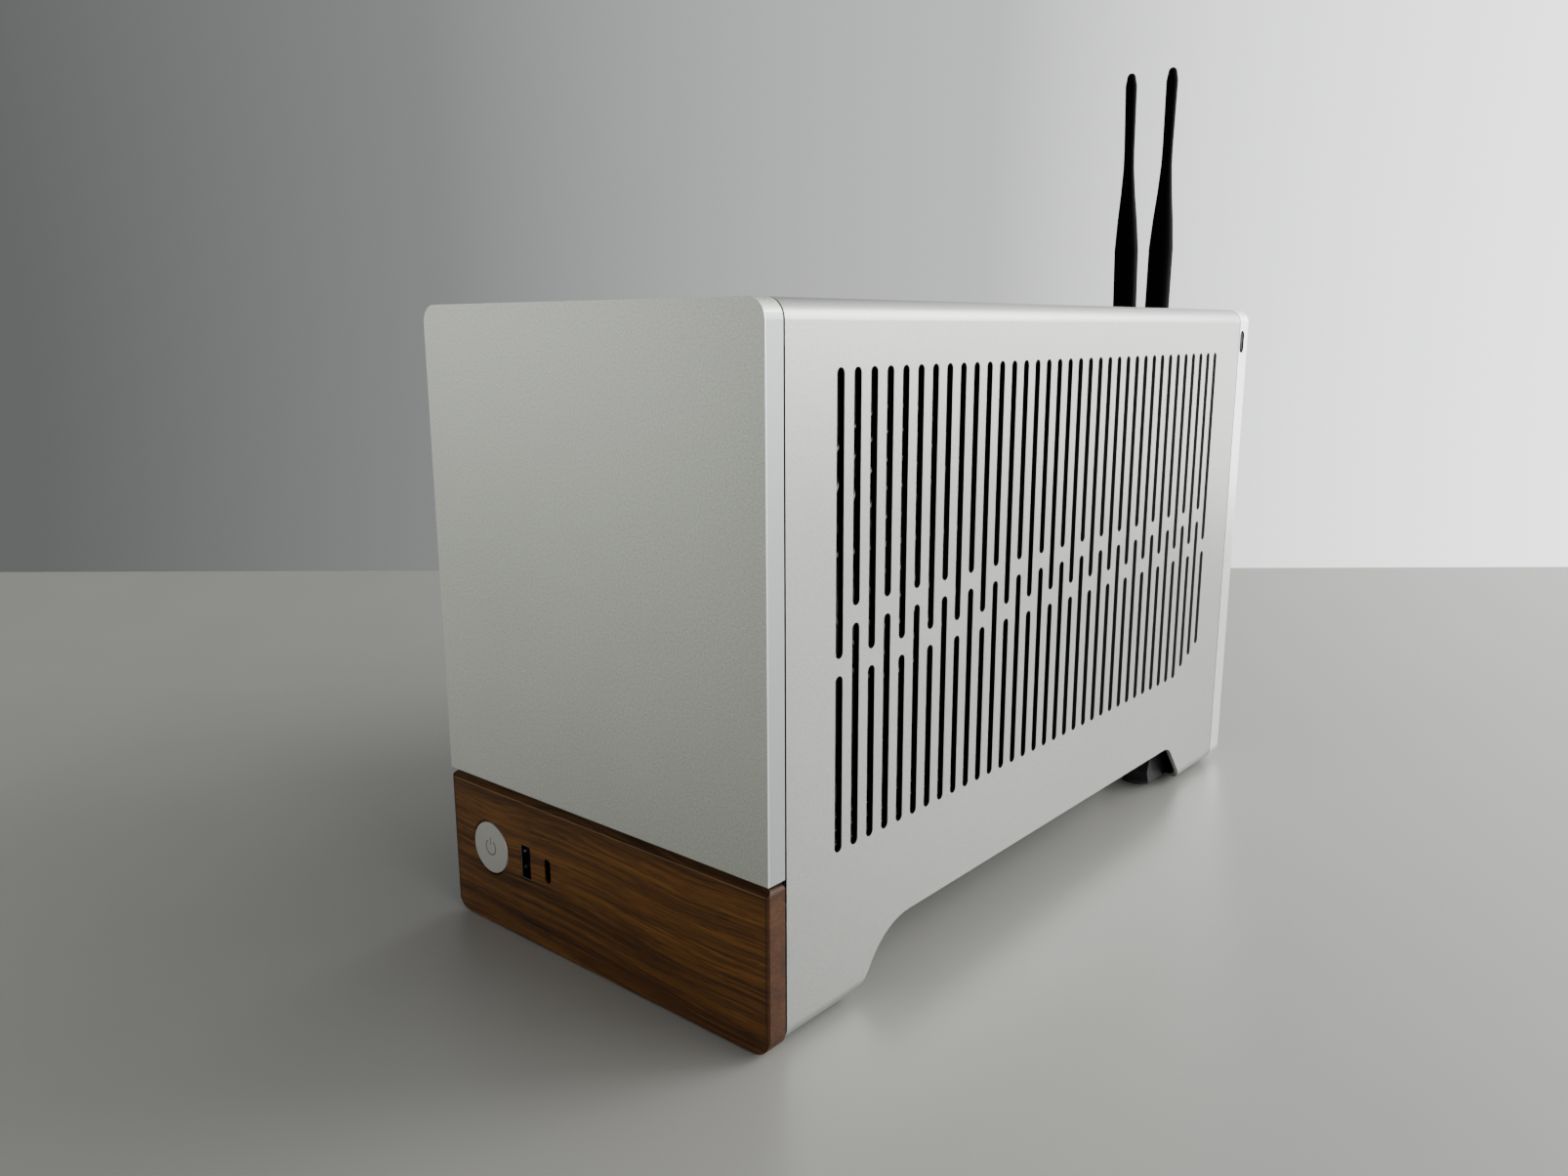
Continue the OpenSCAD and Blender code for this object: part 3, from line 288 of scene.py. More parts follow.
# painted highlight: a bright line along the front piece's side corners
corner = outward.above(half_width - face_y - 0.0005, 0.0001)
ends = front_metal.mix(milled * 0.85, front_metal.skin, rgb(164, 166, 170))
front_metal.feed("Base Color", front_metal.mix(corner * 0.6, ends, rgb(250, 250, 250)))
print("the front piece has milled ends at", round(half_width, 4), "m")

# %% [markdown]
# ## Walnut
#
# The base block is solid walnut with its grain lying across the case. Three things make it
# read as wood. Broad bands run along the board and wander a little. Thin dark lines lie in
# them. Short pores, a few millimetres long, catch the light as tiny cuts. All of them are
# noise drawn out along X, so they are long one way and fine the other. The ends of the block
# show the cut ends of the same fibres, which are flatter. The top front edge is bevelled. The
# bevel is painted darker as shade, and a thin pale painted highlight runs just below it.

# %% Walnut block
walnut = Finish("walnut", Specular_IOR_Level=0.35)
wander = walnut.noise(walnut.stretched(4, 12, 12), 1.0, 3, 0.55)
bent = walnut.make("ShaderNodeVectorMath", {"operation": "ADD"}, i0=walnut.stretched(1, 1, 1),
                   i1=walnut.make("ShaderNodeCombineXYZ", X=0.0, Y=wander * 0.016, Z=wander * 0.026))
bands = walnut.noise(walnut.make("ShaderNodeMapping", Vector=bent, Scale=(5, 85, 170)), 1.0, 4, 0.6)
lines = walnut.noise(walnut.make("ShaderNodeMapping", Vector=bent, Scale=(22, 520, 1150)), 1.0, 4, 0.7)
pores = walnut.noise(walnut.make("ShaderNodeMapping", Vector=bent, Scale=(110, 1300, 2300)),
                     1.0, 2, 0.5)
base = walnut.make("ShaderNodeValToRGB", {"stops": [
    (0.34, rgb(48, 27, 8)[:3]), (0.45, rgb(88, 53, 17)[:3]), (0.54, rgb(122, 78, 28)[:3]),
    (0.66, rgb(156, 105, 44)[:3])]}, Fac=bands * 0.45 + lines * 0.55)
pore_mask = (1 - pores.above(0.36, 0.07)) * 0.6
print("walnut bands made")

# %% Walnut ends and pores
END_DEPTH, BEVEL = 0.0012, 0.0018
wood_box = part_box("wood_front")
half_width = wood_box[1][0]
end_mask = walnut.part(walnut.place, 0).magnitude().above(half_width - END_DEPTH, 0.0006)
end_speck = walnut.noise(walnut.place, 1500, 3, 0.6)
end_tone = walnut.mix(end_speck, rgb(38, 16, 4), rgb(68, 35, 11))
side = walnut.mix(pore_mask, base, rgb(36, 22, 8))
slant = walnut.part(walnut.place, 2) - walnut.part(walnut.place, 1)
bevel_at = wood_box[1][2] - wood_box[0][1] - BEVEL
# painted shade on the bevel, and a painted highlight in a thin line just below it
bevel_painted_shade = slant.above(bevel_at - 0.0001, 0.00005)
crest_painted_highlight = slant.above(bevel_at - 0.00042, 0.00008) * (1 - bevel_painted_shade)
side = walnut.mix(bevel_painted_shade * 0.38, side, rgb(24, 14, 5))
side = walnut.mix(crest_painted_highlight * 0.5, side, rgb(176, 142, 96))
walnut.feed("Base Color", walnut.mix(end_mask * 0.8, side, end_tone))
walnut.feed("Roughness", (0.62 - bands * 0.22 + pore_mask * 0.15).clamp())
walnut.bump(lines * 0.4 + (1 - pore_mask) * 0.6, 0.00012, 0.5)
wear("wood_front", walnut)
print("walnut block is", round(2 * half_width, 4), "m wide")

# %% [markdown]
# ## Dark parts
#
# Inside, most parts are black, but no two blacks are alike. Powder coat on steel is slightly
# pebbled. Moulded plastic has a fine even texture. Rubber is dull and dusty. One recipe covers
# them all, with a different size of pebble, depth and shine for each.

# %% Blacks
def dark(name, tone, rough, pebble, depth, dust=0.0, **constants):
    finish = Finish(name, **constants)
    skin = finish.noise(finish.place, pebble, 3, 0.55)
    patches = finish.noise(finish.place, 26, 3, 0.6)
    shade = finish.mix(skin * 0.6 + patches * 0.4, tinted(tone, 0.75), tinted(tone, 1.35, 0.002))
    finish.feed("Base Color", finish.mix((patches * dust).clamp(), shade, rgb(120, 118, 114)))
    finish.feed("Roughness", (patches * 0.14 + skin * 0.08 + (rough - 0.11)).clamp())
    finish.bump(skin, depth, 0.5)
    return finish


powder = dark("powder_coat", rgb(17, 17, 18), 0.58, 900, 0.00008, Specular_IOR_Level=0.3)
moulded = dark("moulded_black", rgb(15, 15, 16), 0.5, 1900, 0.00003, Specular_IOR_Level=0.35)
antenna_skin = dark("antenna_black", rgb(1, 1, 1), 0.7, 2600, 0.00002, Specular_IOR_Level=0.05)
foot_skin = dark("foot_black", rgb(26, 26, 26), 0.55, 1500, 0.00004)
rubber = dark("pad_rubber", rgb(36, 36, 36), 0.75, 1200, 0.00006, dust=0.12)
port_black = dark("port_black", rgb(6, 6, 7), 0.5, 2600, 0.00002, Specular_IOR_Level=0.2)
for part in ("front_bulkhead", "base_tray", "rear_panel", "top_rails", "center_spine", "psu_case",
             "gpu_backplate"):
    wear(part, powder)
for part in ("rim_inserts", "catch_clips", "memory_slots", "pcie_slot", "board_connectors",
             "gpu_shroud", "cooler_fan_frame", "psu_fan_frame", "riser_slot", "power_inlet",
             "psu_rocker"):
    wear(part, moulded)
for part in ("antenna_base_1", "antenna_base_2", "antenna_blade_1", "antenna_blade_2"):
    wear(part, antenna_skin)
wear("foot_blocks", foot_skin)
wear("foot_pads", rubber)
for part in ("usb_a_port", "usb_c_port"):
    wear(part, port_black)
print("dark finishes are on")

# %% [markdown]
# ## Fan blades
#
# Fans are moulded too, but their blades are glossier than the frames, and the moulding leaves
# fine rings about the hub. A ring is the distance from the axle, folded by a sine.

# %% Rotors
def rotor_finish(name, centre, axis, tone):
    finish = Finish(name, Coat_Weight=0.2)
    offset = finish.make("ShaderNodeVectorMath", {"operation": "SUBTRACT"}, i0=finish.place,
                         i1=tuple(centre))
    flat = finish.make("ShaderNodeVectorMath", {"operation": "MULTIPLY"}, i0=offset,
                       i1=tuple(0 if k == axis else 1 for k in range(3)))
    reach = finish.make("ShaderNodeVectorMath", {"operation": "LENGTH"}, out="Value", i0=flat)
    rings = reach.math("SINE", reach * 9000)
    grain = finish.noise(finish.place, 700, 3, 0.6)
    finish.feed("Base Color", finish.mix(grain, tinted(tone, 0.8), tinted(tone, 1.3)))
    finish.feed("Roughness", (grain * 0.15 + 0.3).clamp())
    finish.bump(rings * 0.3 + grain * 0.7, 0.00003, 0.5)
    return finish


for part in ("cooler_fan_rotor", "psu_fan_rotor", "gpu_rotor_front", "gpu_rotor_rear"):
    low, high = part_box(part)
    wear(part, rotor_finish("blades_" + part, (low + high) / 2, 0, rgb(20, 20, 22)))
print("rotors done")

# %% [markdown]
# ## Bare metals
#
# Pins, port shells and brackets are steel that was rolled or turned, with fine lines along
# one direction. Cooling fins are thin bare aluminium. The nuts on the antenna sockets and the
# board screws are plated in a yellow metal.

# %% Steel, fins and plating
def rolled(name, tone, rough, along, lines=1400.0, metal=1.0):
    finish = Finish(name, Metallic=metal)
    scale = [lines] * 3
    scale[along] = lines / 40
    streak = finish.noise(finish.stretched(*scale), 1.0, 3, 0.6)
    smudge = finish.noise(finish.place, 40, 3, 0.6)
    finish.feed("Base Color", finish.mix(streak * 0.6 + smudge * 0.4, tinted(tone, 0.72),
                                         tinted(tone, 1.15)))
    finish.feed("Roughness", (streak * 0.16 + smudge * 0.12 + (rough - 0.14)).clamp())
    finish.bump(streak, 0.00002, 0.4)
    return finish


steel_y = rolled("steel_along_y", rgb(176, 177, 180), 0.34, 1)
steel_z = rolled("steel_along_z", rgb(168, 169, 172), 0.38, 2)
fins = rolled("bare_fins", rgb(198, 200, 202), 0.3, 2, 900)
plating = rolled("yellow_plating", rgb(205, 170, 104), 0.28, 1)
for part in ("right_door_pins", "left_door_pins", "right_door_studs", "left_door_studs", "psu_grille"):
    wear(part, steel_y)
for part in ("io_shield", "io_ports", "gpu_bracket", "cpu_socket"):
    wear(part, steel_z)
for part in ("cooler_heatsink", "gpu_heatsink"):
    wear(part, fins)
for part in ("board_screws", "antenna_jacks"):
    wear(part, plating)
dark_anodised = rolled("dark_anodised", rgb(62, 64, 70), 0.4, 2, 1100, 0.8)
for part in ("vrm_heatsinks", "memory_modules"):
    wear(part, dark_anodised)
print("bare metals done")

# %% [markdown]
# ## Circuit boards
#
# A board is dark lacquer over copper. The copper shows through as slightly raised, slightly
# lighter tracks. Cells from a Voronoi pattern measured the square way make runs that turn at
# right angles, which is close enough for boards that are seen past other parts.

# %% Boards
def board(name, tone):
    finish = Finish(name, Coat_Weight=0.3)
    cells = finish.make("ShaderNodeTexVoronoi", {"distance": "CHEBYCHEV", "feature": "F1"},
                        Vector=finish.place, Scale=260.0)
    tracks = cells.above(0.42, 0.04) * (1 - cells.above(0.5, 0.04))
    weave = finish.noise(finish.place, 500, 2, 0.5)
    ground = finish.mix(weave, tinted(tone, 0.8), tinted(tone, 1.2))
    finish.feed("Base Color", finish.mix(tracks * 0.6, ground, tinted(tone, 2.6, 0.004)))
    finish.feed("Roughness", (weave * 0.1 + 0.3 - tracks * 0.08).clamp())
    finish.bump(tracks, 0.00003, 0.6)
    return finish


for part, tone in (("motherboard", rgb(26, 28, 32)), ("gpu_board", rgb(22, 26, 26)),
                   ("front_io_board", rgb(20, 44, 34))):
    wear(part, board("board_" + part, tone))
print("boards done")

# %% [markdown]
# ## Sleeved cables
#
# The cables inside are bundles in braided sleeves. A braid is two sets of strands that cross.
# Each set is a sine of the place along two slanted directions, and the higher one shows.

# %% Sleeves
def sleeve(name, tone):
    finish = Finish(name)
    x, y, z = (finish.part(finish.place, k) for k in range(3))
    one = x.math("SINE", (x + y + z) * 5200)
    two = x.math("SINE", (x - y + z * 0.6) * 5200)
    braid = x.math("MAXIMUM", one, two)
    finish.feed("Base Color", finish.mix((braid * 0.5 + 0.5).clamp(), tinted(tone, 0.5), tone))
    finish.feed("Roughness", (0.8 - braid * 0.1).clamp())
    finish.bump(braid, 0.0002, 0.6)
    return finish


sleeving = sleeve("cable_sleeve", rgb(48, 48, 50))
for part in ("front_io_cable", "inlet_cable", "atx_cable", "gpu_cable"):
    wear(part, sleeving)
wear("riser_cable", dark("ribbon", rgb(34, 34, 37), 0.42, 1400, 0.00004))
PLAIN_NODES = 3  # a material with no more nodes than this has not been worked on
bare = [name for name, part in nodes.items()
        if not any(m and m.use_nodes and len(m.node_tree.nodes) > PLAIN_NODES
                   for m in part.data.materials)]
print("parts still without a finish:", bare)

# %% [markdown]
# ## Two helpers for small parts
#
# Small hardware is either sawn or turned. A sawn part starts as a cube that is stretched and
# has its edges bevelled, because a real edge always catches a line of light. A turned part is
# half its outline, spun round an axle as on a lathe. Both helpers work in millimetres, and
# the finished mesh shrinks to metres in one go. Its object stays at the origin, so patterns
# that read the object's own coordinates don't slide when the part moves.

# %% Sawn shapes
def sawn(made, low, high, bevel=0.0, finish=0):
    fresh = bmesh.ops.create_cube(made, size=1)["verts"]
    bmesh.ops.scale(made, vec=[h - l for l, h in zip(low, high)], verts=fresh)
    bmesh.ops.translate(made, vec=[(h + l) / 2 for l, h in zip(low, high)], verts=fresh)
    for face in {f for v in fresh for f in v.link_faces}:
        face.material_index = finish
    if bevel > 0:
        bmesh.ops.bevel(made, geom=list({e for v in fresh for e in v.link_edges}), offset=bevel,
                        affect="EDGES", segments=2, profile=0.5, material=-1, clamp_overlap=True)


# %% Turned shapes
def turned(made, outline, place, along, steps=28, finish=0, share=1.0):
    """outline is a list of (radius, height) in millimetres, spun about the direction `along`."""
    old = set(made.verts)
    points = [made.verts.new((r, 0, h)) for r, h in outline]
    edges = [made.edges.new(pair) for pair in zip(points, points[1:])]
    bmesh.ops.spin(made, geom=points + edges, cent=(0, 0, 0), axis=(0, 0, 1), angle=2 * math.pi * share,
                   steps=steps, use_merge=share == 1.0, use_normal_flip=False, use_duplicate=False)
    fresh = [v for v in made.verts if v not in old]
    stand = Vector((0, 0, 1)).rotation_difference(Vector(along)).to_matrix().to_4x4()
    bmesh.ops.transform(made, matrix=Matrix.Translation(place) @ stand, verts=fresh)
    for face in {f for v in fresh for f in v.link_faces}:
        face.material_index = finish
    bmesh.ops.remove_doubles(made, verts=fresh, dist=0.0005)


# %% Finishing a piece
def place_piece(name, made, body, slot, *finishes):
    bmesh.ops.scale(made, vec=(0.001, 0.001, 0.001), verts=made.verts)
    bmesh.ops.recalc_face_normals(made, faces=made.faces)
    mesh = bpy.data.meshes.new(name)
    made.to_mesh(mesh)
    made.free()
    for finish in finishes:
        mesh.materials.append(finish.material)
    piece = bpy.data.objects.new(name, mesh)
    bpy.context.scene.collection.objects.link(piece)
    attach(piece, body)
    print(name, "has", len(mesh.polygons), "faces")


def spot(part, x, y, z):
    """A place in a part's box, in millimetres: 0 is its low side and 1 its high side."""
    low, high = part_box(part)
    return Vector([1000 * (l + (h - l) * share) for l, h, share in zip(low, high, (x, y, z))])


print("the button's face is at", tuple(round(v, 2) for v in spot("power_button", 0.5, 0, 0.5)))

# %% [markdown]
# ## The power button
#
# The button is a turned disc with a polished chamfer, and a thin mark is engraved on it. The
# mark here is the ordinary sign for power: a ring with a gap at the top and an upright bar.
# A ring with a gap is a small rectangle spun less than a full turn, starting beside the gap.

# %% Chamfer and power mark
polish = rolled("polished_edge", rgb(238, 238, 236), 0.2, 1, 2400)
mark_grey = dark("mark_grey", rgb(128, 127, 121), 0.5, 3000, 0.00001)
face = spot("power_button", 0.5, 0, 0.5)
made = bmesh.new()
turned(made, [(9.3, 0.02), (9.34, -0.03), (9.88, 0.5), (9.82, 0.56), (9.3, 0.02)], face, (0, 1, 0), 72)
place_piece("button_chamfer", made, "power_button", "bright_aluminium", polish)

made = bmesh.new()
gap = math.radians(34)
section = [made.verts.new((math.sin(gap) * r, y, math.cos(gap) * r))
           for r, y in ((2.5, 0.1), (2.95, 0.1), (2.95, -0.04), (2.5, -0.04))]
end = made.faces.new(section)
bmesh.ops.spin(made, geom=[end] + list(end.edges) + section, cent=(0, 0, 0), axis=(0, 1, 0),
               angle=2 * math.pi - 2 * gap, steps=40, use_merge=False, use_normal_flip=False,
               use_duplicate=False)
sawn(made, (-0.22, -0.04, 0.9), (0.22, 0.1, 3.7), 0.08)
bmesh.ops.translate(made, vec=face, verts=made.verts)
place_piece("power_mark", made, "power_button", "bright_aluminium", mark_grey)

# %% [markdown]
# ## Inside the front ports
#
# A flat port holds a plastic tongue with four flat contacts, and two springs press on the
# plug from the side. The small port holds a thin tongue with contacts on both faces. The
# contacts and springs are the only bright things in a black hole, so they must be there.

# %% Front port contacts
gilt = rolled("gilt_contacts", rgb(214, 178, 104), 0.3, 1, 2600)
spring_steel = rolled("spring_steel", rgb(226, 226, 224), 0.3, 1, 2600)
low, high = spot("usb_a_port", 0, 0, 0), spot("usb_a_port", 1, 1, 1)
middle = (low.z + high.z) / 2
made = bmesh.new()
for step in (-3.6, -1.2, 1.2, 3.6):
    sawn(made, (low.x + 2.5, low.y + 2.4, middle + step - 0.5),
         (low.x + 2.68, low.y + 9.5, middle + step + 0.5), 0.06, 0)
for step in (-2.5, 3.3):
    sawn(made, (low.x + 0.55, low.y + 0.8, middle + step - 0.55),
         (low.x + 1.2, low.y + 2.3, middle + step + 0.55), 0.2, 1)
for x in (low.x + 0.1, high.x - 0.35):
    sawn(made, (x, low.y - 0.08, low.z + 0.1), (x + 0.25, low.y + 0.1, high.z - 0.1), 0.05, 2)
for z in (low.z + 0.1, high.z - 0.35):
    sawn(made, (low.x + 0.1, low.y - 0.08, z), (high.x - 0.1, low.y + 0.1, z + 0.25), 0.05, 2)
place_piece("usb_a_contacts", made, "chassis", "gilt_brass", gilt, spring_steel, mark_grey)
low, high = spot("usb_c_port", 0, 0, 0), spot("usb_c_port", 1, 1, 1)
middle = (low.x + high.x) / 2
made = bmesh.new()
sawn(made, (middle - 0.32, low.y + 1.2, low.z + 1.6),
     (middle + 0.32, low.y + 9, high.z - 1.6), 0.15, 0)
for k in range(8):
    z = low.z + 2.15 + k * (high.z - low.z - 4.3) / 7
    for side in (-0.36, 0.36):
        sawn(made, (middle + side - 0.06, low.y + 1.7, z - 0.14),
             (middle + side + 0.06, low.y + 6, z + 0.14), 0, 1)
place_piece("usb_c_tongue", made, "chassis", "black_plastic", port_black, gilt)

# %% [markdown]
# ## Dark strips and plugs as painted shade
#
# The front pieces don't touch each other or the doors, and the doors don't touch the rear rim.
# A thin black strip in each joint is painted shade: it stands in for the shade down in the gap
# and turns the joint into a dark line. Every strip stops a little short of the skin, so the edge
# of the metal still throws its own shadow. The rim has one small opening in each side, and a
# black plug in it stands in for the shade inside the opening.

# %% Black strips as painted shade in the joints
wood_low, wood_high = spot("wood_front", 0, 0, 0), spot("wood_front", 1, 1, 1)
metal_low, metal_high = spot("front_panel", 0, 0, 0), spot("front_panel", 1, 1, 1)
door_front = spot("right_door", 0, 0, 0).y
# painted shade: a black strip on the wood's top stands in for the shade in the seam
made = bmesh.new()
sawn(made, (wood_low.x + 0.9, wood_low.y + 2.1, wood_high.z - 0.1),
     (wood_high.x - 0.9, wood_high.y, metal_low.z + 0.1), 0.3)
place_piece("wood_seam_shade", made, "chassis", "black_rubber", port_black)


def frame_strip(made, y0, y1, edge=6.0, sunk=0.5, deep=1.8):
    """Half of a strip up one side, round the corner and over the top, then its mirror image."""
    side, top = metal_high.x, metal_high.z
    sawn(made, (side - deep, y0, wood_low.z + 7), (side - sunk, y1, top - edge))
    sawn(made, (0, y0, top - deep), (side - edge, y1, top - sunk))
    section = [(edge - deep, 0), (edge - sunk, 0), (edge - sunk, y1 - y0),
               (edge - deep, y1 - y0), (edge - deep, 0)]
    turned(made, section, (side - edge, y1, top - edge), (0, -1, 0), 10, 0, 0.25)
    twin = bmesh.ops.duplicate(made, geom=made.verts[:] + made.edges[:] + made.faces[:])["geom"]
    bmesh.ops.scale(made, vec=(-1, 1, 1),
                    verts=[g for g in twin if isinstance(g, bmesh.types.BMVert)])


made = bmesh.new()
rim_low, rim_high = spot("rear_rim", 0, 0, 0), spot("rear_rim", 1, 1, 1)
# painted shade: black plugs stand in for the shade inside the rim's openings
for side in (-1, 1):
    a, b = sorted((side * (rim_high.x - 3.4), side * (rim_high.x - 0.15)))
    sawn(made, (a, rim_low.y + 0.75, rim_high.z - 19.2), (b, rim_low.y + 5.3, rim_high.z - 9.6), 1.6)
place_piece("rim_opening_shade", made, "chassis", "black_rubber", port_black)

# painted shade: black strips stand in for the shade in the door joints
for name, y0, y1 in (("front_joint_shade", wood_high.y + 0.02, door_front - 0.08),
                     ("rear_joint_shade", spot("right_door", 0, 1, 0).y + 0.08, rim_low.y - 0.02)):
    made = bmesh.new()
    frame_strip(made, y0, y1)
    place_piece(name, made, "chassis", "black_rubber", port_black)

# %% [markdown]
# ## Inside the rear ports
#
# Each rear port is a metal shell with a plastic tongue in it. The tongues carry flat contacts
# and the backs of the shells are dark. Rows of ports are one shape repeated down the board's
# edge, so two loops place them all, and every row has as many ports as its shell is wide.

# %% Rear port tongues
PORT_PITCH = 7.4
# height of each row above the board's low edge, how tall its ports are, how wide its shell is
PORT_ROWS = ((22, 15, 16), (39, 15, 16), (56, 16, 14), (74, 15, 31), (92, 15, 31), (111, 17, 28))
BLUE_ROWS = (22, 39, 74)

tongue_blue = dark("tongue_blue", rgb(28, 52, 92), 0.45, 2600, 0.00002)
board_low = spot("motherboard", 1, 0, 0)
panel = spot("rear_panel", 0, 0, 0).y
made = bmesh.new()
ports = 0
for rise, tall, deep in PORT_ROWS:
    z, x = board_low.z + rise, board_low.x + 1.5
    while x <= board_low.x + deep - 6:
        sawn(made, (x + 0.1, panel - 9.9, z - tall / 2 + 1.1),
             (x + 5.1, panel - 9.5, z + tall / 2 - 1.1), 0.05, 0)
        sawn(made, (x + 1.7, panel - 9.5, z - tall / 2 + 2.4),
             (x + 3.2, panel - 0.8, z + tall / 2 - 2.4), 0.2, 1 if rise in BLUE_ROWS else 0)
        for step in (-0.36, -0.12, 0.12, 0.36):
            c = z + step * (tall - 4.8)
            sawn(made, (x + 3.15, panel - 8.5, c - 0.5), (x + 3.35, panel - 1.6, c + 0.5), 0.05, 2)
        ports += 1
        x += PORT_PITCH
place_piece("rear_port_tongues", made, "chassis", "black_plastic", port_black, tongue_blue, gilt)
print("ports at the back:", ports)

# %% Display sockets of the graphics card
made = bmesh.new()
for z in (66, 88, 110, 132):
    sawn(made, (-30.4, panel - 2.9, z - 6.4), (-26.3, panel - 2.3, z + 6.4), 0.1, 0)
    sawn(made, (-29.1, panel - 2.4, z - 5.0), (-27.9, panel + 0.8, z + 5.0), 0.25, 0)
    for k in range(8):
        c = z - 4.2 + 1.2 * k
        sawn(made, (-27.95, panel - 2.2, c - 0.22), (-27.78, panel + 0.2, c + 0.22), 0, 1)
place_piece("display_sockets", made, "chassis", "black_plastic", port_black, gilt)

# %% [markdown]
# ## Screws
#
# A screw head is turned: a low dome with a recess in the middle. The rear panel is held all
# round its edge, the mains inlet by two screws, and the supply's grille and the cooler's fan by
# four each. A screw belongs in each place where two sheets meet, or the case looks glued.

# %% Screw heads
head = [(0, -0.5), (0.75, -0.5), (0.95, 0.45), (1.35, 0.75), (1.9, 0.55), (2.2, 0.0), (2.2, -0.1)]
wide = [(r * 1.3, h * 1.2) for r, h in head]
screw_black = dark("black_screws", rgb(26, 26, 27), 0.35, 2200, 0.00002, Metallic=0.7)
made = bmesh.new()
back = spot("rear_panel", 0, 1, 0).y
for x, z in ((-70, 40), (70, 84), (-70, 120), (70, 140), (-70, 188), (0, 209), (-43, 163.5),
             (-43, 50.5), (70, 186), (-30, 209), (30, 209), (-12.6, 40)):
    turned(made, head, (x, back, z), (0, 1, 0), 24)
inlet = spot("power_inlet", 0.5, 1, 0.5)
for rise in (-17.4, 17.4):
    turned(made, head, (inlet.x, inlet.y, inlet.z + rise), (0, 1, 0), 24)
place_piece("rear_screws", made, "chassis", "black_steel", screw_black)
made = bmesh.new()
for centre, reach in ((spot("psu_grille", 0, 0.5, 0.5), 44.5),
                      (spot("cooler_fan_frame", 1, 0.5, 0.5), 41)):
    for dy in (-reach, reach):
        for dz in (-reach, reach):
            turned(made, wide, (centre.x, centre.y + dy, centre.z + dz), (1, 0, 0), 24)
place_piece("fan_screws", made, "chassis", "steel", steel_y)

# %% [markdown]
# ## Hub caps
#
# Every rotor has a cap on its hub, with a shallow groove and a raised centre. The cap turns
# with the rotor, so it rides on the rotor's body and not on the case. One outline serves all
# four fans: only the place and the direction differ.

# %% Four caps
cap = [(0, 0.55), (5.2, 0.5), (5.5, 0.25), (9.2, 0.25), (9.5, 0.5), (11.2, 0.42), (11.8, 0.0),
       (11.8, -0.3)]
cap_grey = dark("cap_grey", rgb(44, 45, 48), 0.3, 1800, 0.00002, Coat_Weight=0.3)
for name, part, body, side in (("cooler_cap", "cooler_fan_rotor", "cooler_fan", 1),
                               ("supply_cap", "psu_fan_rotor", "supply_fan", 1),
                               ("card_cap_front", "gpu_rotor_front", "card_fan_front", -1),
                               ("card_cap_rear", "gpu_rotor_rear", "card_fan_rear", -1)):
    hub = (spot(part, 0, 0, 0) + spot(part, 1, 1, 1)) / 2
    hub.x = spot(part, 1 if side > 0 else 0, 0, 0).x
    made = bmesh.new()
    turned(made, cap, hub, (side, 0, 0), 48)
    place_piece(name, made, body, "black_plastic", cap_grey)

# %% [markdown]
# ## Trim of the graphics card
#
# The shroud's two openings have thin bright rings, and raised ribs run from them to the ends.
# A ring is a small rounded section spun once round the fan's axle.

# %% Shroud rings and ribs
made = bmesh.new()
face_x = spot("gpu_shroud", 0, 0, 0).x
for part in ("gpu_rotor_front", "gpu_rotor_rear"):
    hub = (spot(part, 0, 0, 0) + spot(part, 1, 1, 1)) / 2
    hub.x = face_x
    turned(made, [(43.6, -0.3), (43.6, 0.45), (43.9, 0.7), (44.8, 0.7), (45.2, 0.3), (45.2, -0.3)],
           hub, (-1, 0, 0), 96, 0)
a, b = spot("gpu_shroud", 0, 0, 0), spot("gpu_shroud", 0, 1, 1)
for z in (a.z + 3, b.z - 5.5):
    for k in range(3):
        y0, y1 = a.y + 3 + k * 80, a.y + 75 + k * 80
        sawn(made, (face_x - 0.8, y0, z), (face_x + 0.2, min(y1, b.y - 3), z + 2.2), 0.35, 1)
plate_z = ((a.z + 7, a.z + 24), (b.z - 25, b.z - 9))
for z0, z1 in plate_z:
    for y0, y1 in ((a.y + 3, a.y + 24), (a.y + 104, a.y + 132), (b.y - 24, b.y - 3)):
        sawn(made, (face_x - 0.9, y0, z0), (face_x + 0.2, y1, z1), 0.45, 2)
shroud_grey = dark("shroud_grey", rgb(58, 59, 62), 0.42, 1500, 0.00003)
place_piece("shroud_trim", made, "chassis", "steel", steel_y, moulded, shroud_grey)

# %% [markdown]
# ## Heat pipes
#
# Four pipes leave the block above the processor, turn back on themselves and run through the
# fins. A bent pipe is a circle spun half a turn about an axle beside it, and each straight leg
# is the open end extruded on.

# %% Pipes of the cooler
copper = rolled("plated_copper", rgb(196, 140, 104), 0.26, 2, 1800)
made = bmesh.new()
top = spot("cooler_heatsink", 0, 0, 1)
for y in (31, 45, 59, 73):
    circle = bmesh.ops.create_circle(made, cap_ends=False, segments=18, radius=2.8)["verts"]
    bmesh.ops.translate(made, vec=(top.x + 6, y, top.z - 3), verts=circle)
    ring = list({e for v in circle for e in v.link_edges})
    bmesh.ops.spin(made, geom=circle + ring, cent=(top.x + 13.5, y, top.z - 3), axis=(0, 1, 0),
                   angle=math.pi, steps=16, use_merge=False, use_normal_flip=False,
                   use_duplicate=False)
ends = [e for e in made.edges if e.is_boundary]
legs = bmesh.ops.extrude_edge_only(made, edges=ends)["geom"]
bmesh.ops.translate(made, vec=(0, 0, -12),
                    verts=[g for g in legs if isinstance(g, bmesh.types.BMVert)])
bmesh.ops.holes_fill(made, edges=[e for e in made.edges if e.is_boundary])
